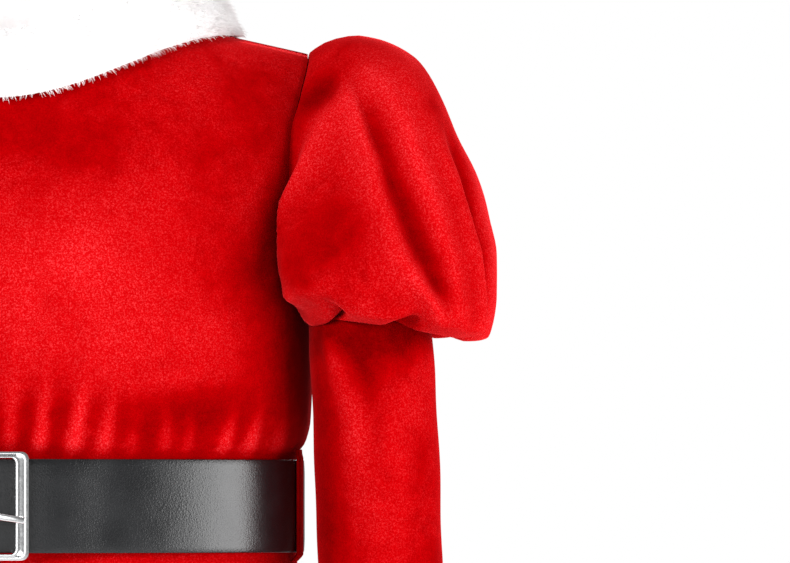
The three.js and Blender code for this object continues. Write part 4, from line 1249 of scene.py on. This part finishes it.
# The frame's section from its outer edge round the front to its back: share of the bar, and depth.
BUCKLE_SECTION = table(
    "share depth",
    (0.02, 0.15), (0.07, 0.00), (0.36, 0.05), (0.40, 0.45), (0.70, 1.25), (0.74, 0.45),
    (0.80, 0.30), (0.95, 0.40), (1.00, 0.90), (1.00, 3.70), (0.94, 4.00), (0.06, 4.00), (0.00, 3.70),
)
BUCKLE_MIDDLE_Z = BELT_TOP_Z - BELT_WIDTH / 2
BUCKLE_LIFT = BELT_EASE + BELT_BUCKLE_LIFT + BELT_THICKNESS + BUCKLE_CLEAR
BUCKLE_BACK_Y = waist_point(0, BUCKLE_MIDDLE_Z, BUCKLE_LIFT).y
ROD_Y = waist_point(0, BUCKLE_MIDDLE_Z, BELT_EASE + BUCKLE_ROD + SEAM).y


PRONG = {"length": 23.8, "thick": 2.4, "wide": 4.7, "slope": 9, "start": -6.1}
PRONG_TIP = {"thinner": 0.8, "narrower": 0.92}
PRONG_ROOT = {"long": 1.6, "down": 1.2, "thinner": 0.8, "narrower": 0.9}
PRONG_BEVEL = 0.95
SHARP_ANGLE = 35


def add_block(name, middle, size):
    bpy.ops.object.select_all(action="DESELECT")
    bpy.ops.mesh.primitive_cube_add(size=1, location=[value * MM for value in middle])
    block = bpy.context.object
    block.name = name
    block.scale = [value * MM for value in size]
    bpy.ops.object.transform_apply(location=True, rotation=False, scale=True)
    return block


def add_rod(name, middle, radius, length, turned=(0, 0, 0)):
    bpy.ops.object.select_all(action="DESELECT")
    bpy.ops.mesh.primitive_cylinder_add(
        vertices=ROD_SIDES, radius=radius * MM, depth=length * MM,
        location=[value * MM for value in middle], rotation=turned,
    )
    rod = bpy.context.object
    rod.name = name
    bpy.ops.object.transform_apply(location=True, rotation=True, scale=True)
    return rod


def select_only(piece, mode, wanted):
    """Selects the faces or edges of the piece in edit mode that the test wants."""
    bpy.ops.mesh.select_mode(type=mode)
    bpy.ops.mesh.select_all(action="DESELECT")
    mesh = bmesh.from_edit_mesh(piece.data)
    for part in mesh.faces if mode == "FACE" else mesh.edges:
        if wanted(part):
            part.select_set(True)
    mesh.select_flush_mode()
    bmesh.update_edit_mesh(piece.data)


def make_buckle_frame():
    """A face is inset and moved along the frame's section, and its last ring is joined to its first."""
    face_y = BUCKLE_BACK_Y - BUCKLE_THICK
    bpy.ops.object.select_all(action="DESELECT")
    bpy.ops.mesh.primitive_plane_add(size=1, rotation=(math.radians(90), 0, 0))
    block = bpy.context.object
    block.name = "buckle_frame_metal"
    block.location = (0, (face_y + BUCKLE_FIRST_DEPTH) * MM, BUCKLE_MIDDLE_Z * MM)
    block.scale = (BUCKLE_WIDTH * MM, BUCKLE_HEIGHT * MM, 1)
    bpy.ops.object.transform_apply(location=True, rotation=True, scale=True)
    bpy.ops.object.mode_set(mode="EDIT")
    bpy.ops.mesh.bevel(offset=BUCKLE_CORNER * MM, segments=BUCKLE_CORNER_STEPS, affect="VERTICES")
    bpy.ops.mesh.select_all(action="SELECT")
    bpy.ops.mesh.select_mode(type="FACE")
    wide, high, depth = BUCKLE_WIDTH, BUCKLE_HEIGHT, BUCKLE_FIRST_DEPTH
    for ring in BUCKLE_SECTION:
        bpy.ops.mesh.inset(thickness=BUCKLE_INSET * MM)
        to_wide = BUCKLE_WIDTH - 2 * BUCKLE_SIDE_BAR * ring["share"]
        to_high = BUCKLE_HEIGHT - 2 * BUCKLE_END_BAR * ring["share"]
        bpy.ops.transform.resize(
            value=(to_wide / (wide - 2 * BUCKLE_INSET), 1, to_high / (high - 2 * BUCKLE_INSET)),
            center_override=(0, (face_y + depth) * MM, BUCKLE_MIDDLE_Z * MM),
        )
        bpy.ops.transform.translate(value=(0, (ring["depth"] - depth) * MM, 0))
        wide, high, depth = to_wide, to_high, ring["depth"]
    bpy.ops.mesh.delete(type="FACE")
    select_only(block, "EDGE", lambda edge: edge.is_boundary)
    bpy.ops.mesh.bridge_edge_loops()
    bpy.ops.mesh.select_all(action="SELECT")
    bpy.ops.mesh.normals_make_consistent(inside=False)
    bpy.ops.object.mode_set(mode="OBJECT")

    end_z = (BUCKLE_HEIGHT - BUCKLE_END_BAR) / 2
    rods = [add_rod("rod", (0, ROD_Y, BUCKLE_MIDDLE_Z), BUCKLE_ROD, 2 * end_z + 2 * BUCKLE_ROD)]
    reach = ROD_Y - BUCKLE_BACK_Y + POST_SINK
    for end in (-1, 1):
        place = (0, ROD_Y - reach / 2, BUCKLE_MIDDLE_Z + end * end_z)
        rods.append(add_rod("post", place, BUCKLE_ROD * POST_SHARE, reach, (math.radians(90), 0, 0)))
    select_pieces(block, *rods)
    bpy.ops.object.join()
    bpy.ops.object.shade_smooth_by_angle(angle=math.radians(SHARP_ANGLE))
    return block


def make_prong():
    """A round-nosed bar that comes out of the strap's hole and rests on the buckle's bar."""
    rest_y = BUCKLE_BACK_Y - BUCKLE_THICK - SEAM - PRONG["thick"] / 2
    size = (PRONG["length"], PRONG["thick"], PRONG["wide"])
    prong = add_block("buckle_prong_metal", (PRONG["length"] / 2, 0, 0), size)
    bpy.ops.object.mode_set(mode="EDIT")
    select_only(prong, "FACE", lambda face: face.normal.x > 0.9)
    bpy.ops.transform.resize(value=(1, PRONG_TIP["thinner"], PRONG_TIP["narrower"]))
    select_only(prong, "FACE", lambda face: face.normal.x < -0.9)
    into_hole = (-PRONG_ROOT["long"] * MM, PRONG_ROOT["down"] * MM, 0)
    bpy.ops.mesh.extrude_region_move(TRANSFORM_OT_translate={"value": into_hole})
    bpy.ops.transform.resize(value=(1, PRONG_ROOT["thinner"], PRONG_ROOT["narrower"]))
    bpy.ops.object.mode_set(mode="OBJECT")
    round_edges(prong, PRONG_BEVEL, segments=4, sharp=40)
    prong.location = (0, rest_y * MM, (BUCKLE_MIDDLE_Z + PRONG["start"]) * MM)
    prong.rotation_euler = (0, math.radians(PRONG["slope"]), 0)
    select_pieces(prong)
    bpy.ops.object.transform_apply(location=True, rotation=True, scale=True)
    bpy.ops.object.shade_smooth_by_angle(angle=math.radians(SHARP_ANGLE))
    return prong


dress_in(make_buckle_frame(), nickel, "buckle_metal", "buckle_frame")
dress_in(make_prong(), nickel, "buckle_metal", "buckle_prong")


# ---- Studio ----
# Lamps: where each stands and what it is aimed at, in metres, its width and height, and its watts.
SOFTBOXES = table(
    "name place aim size power",
    ("key", (-1.5, -2.0, 0.7), (0.1, -0.1, -0.25), (1.1, 1.1), 88),
    ("side", (1.6, -0.8, -0.28), (0.15, -0.1, -0.3), (1.1, 1.3), 36),
    ("top", (0.1, 0.1, 1.8), (0, 0, 0), (1.2, 1.2), 16),
    ("back", (0.8, 2.6, 0.9), (0, 0, -0.3), (1.8, 1.6), 50),
    ("front_card", (0, -5.7, -0.3), (0, 0, -0.3), (1.2, 1.2), 12),
)
FLOOR_SIZE, FLOOR_Z = 30, -1.45
AMBIENT, REFLECTED = 0.2, 0.24


def add_softbox(name, place, aim, size, power):
    data = bpy.data.lights.new(name, "AREA")
    data.shape = "RECTANGLE"
    data.size, data.size_y = size
    data.energy = power
    light = bpy.data.objects.new(name, data)
    light.location = place
    light.rotation_euler = (Vector(aim) - Vector(place)).to_track_quat("-Z", "Y").to_euler()
    light.visible_camera = False
    bpy.context.scene.collection.objects.link(light)


def add_floor():
    """A pale floor that gives back a little light of its own, as a lit studio's does."""
    bpy.ops.object.select_all(action="DESELECT")
    bpy.ops.mesh.primitive_plane_add(size=FLOOR_SIZE, location=(0, 0, FLOOR_Z))
    floor = bpy.context.object
    floor.name = "studio_floor"
    material, tree, shader = new_finish("pale_painted_floor")
    plug_in(tree, shader, {
        "Base Color": linear("#F2F2F2"),
        "Roughness": 0.8,
        "Emission Color": grey(1.0),
        "Emission Strength": 0.35,
    })
    floor.data.materials.append(material)


def light_world():
    """A white studio to the eye, with a softer even light on the dress and a grey one in its metal."""
    world = bpy.data.worlds.new("studio")
    world.use_nodes = True
    bpy.context.scene.world = world
    tree = world.node_tree
    ray = add_node(tree, "LightPath").outputs
    even = {0: ray["Is Glossy Ray"], 1: REFLECTED - AMBIENT, 2: AMBIENT}
    lit = add_node(tree, "Math", even, operation="MULTIPLY_ADD").outputs[0]
    seen = {0: ray["Is Camera Ray"], 1: lit}
    strength = add_node(tree, "Math", seen, operation="MAXIMUM").outputs[0]
    plug_in(tree, tree.nodes["Background"], {"Color": grey(1.0), "Strength": strength})


light_world()
for softbox in SOFTBOXES:
    add_softbox(**softbox)
add_floor()
bpy.context.scene.view_settings.view_transform = "Standard"
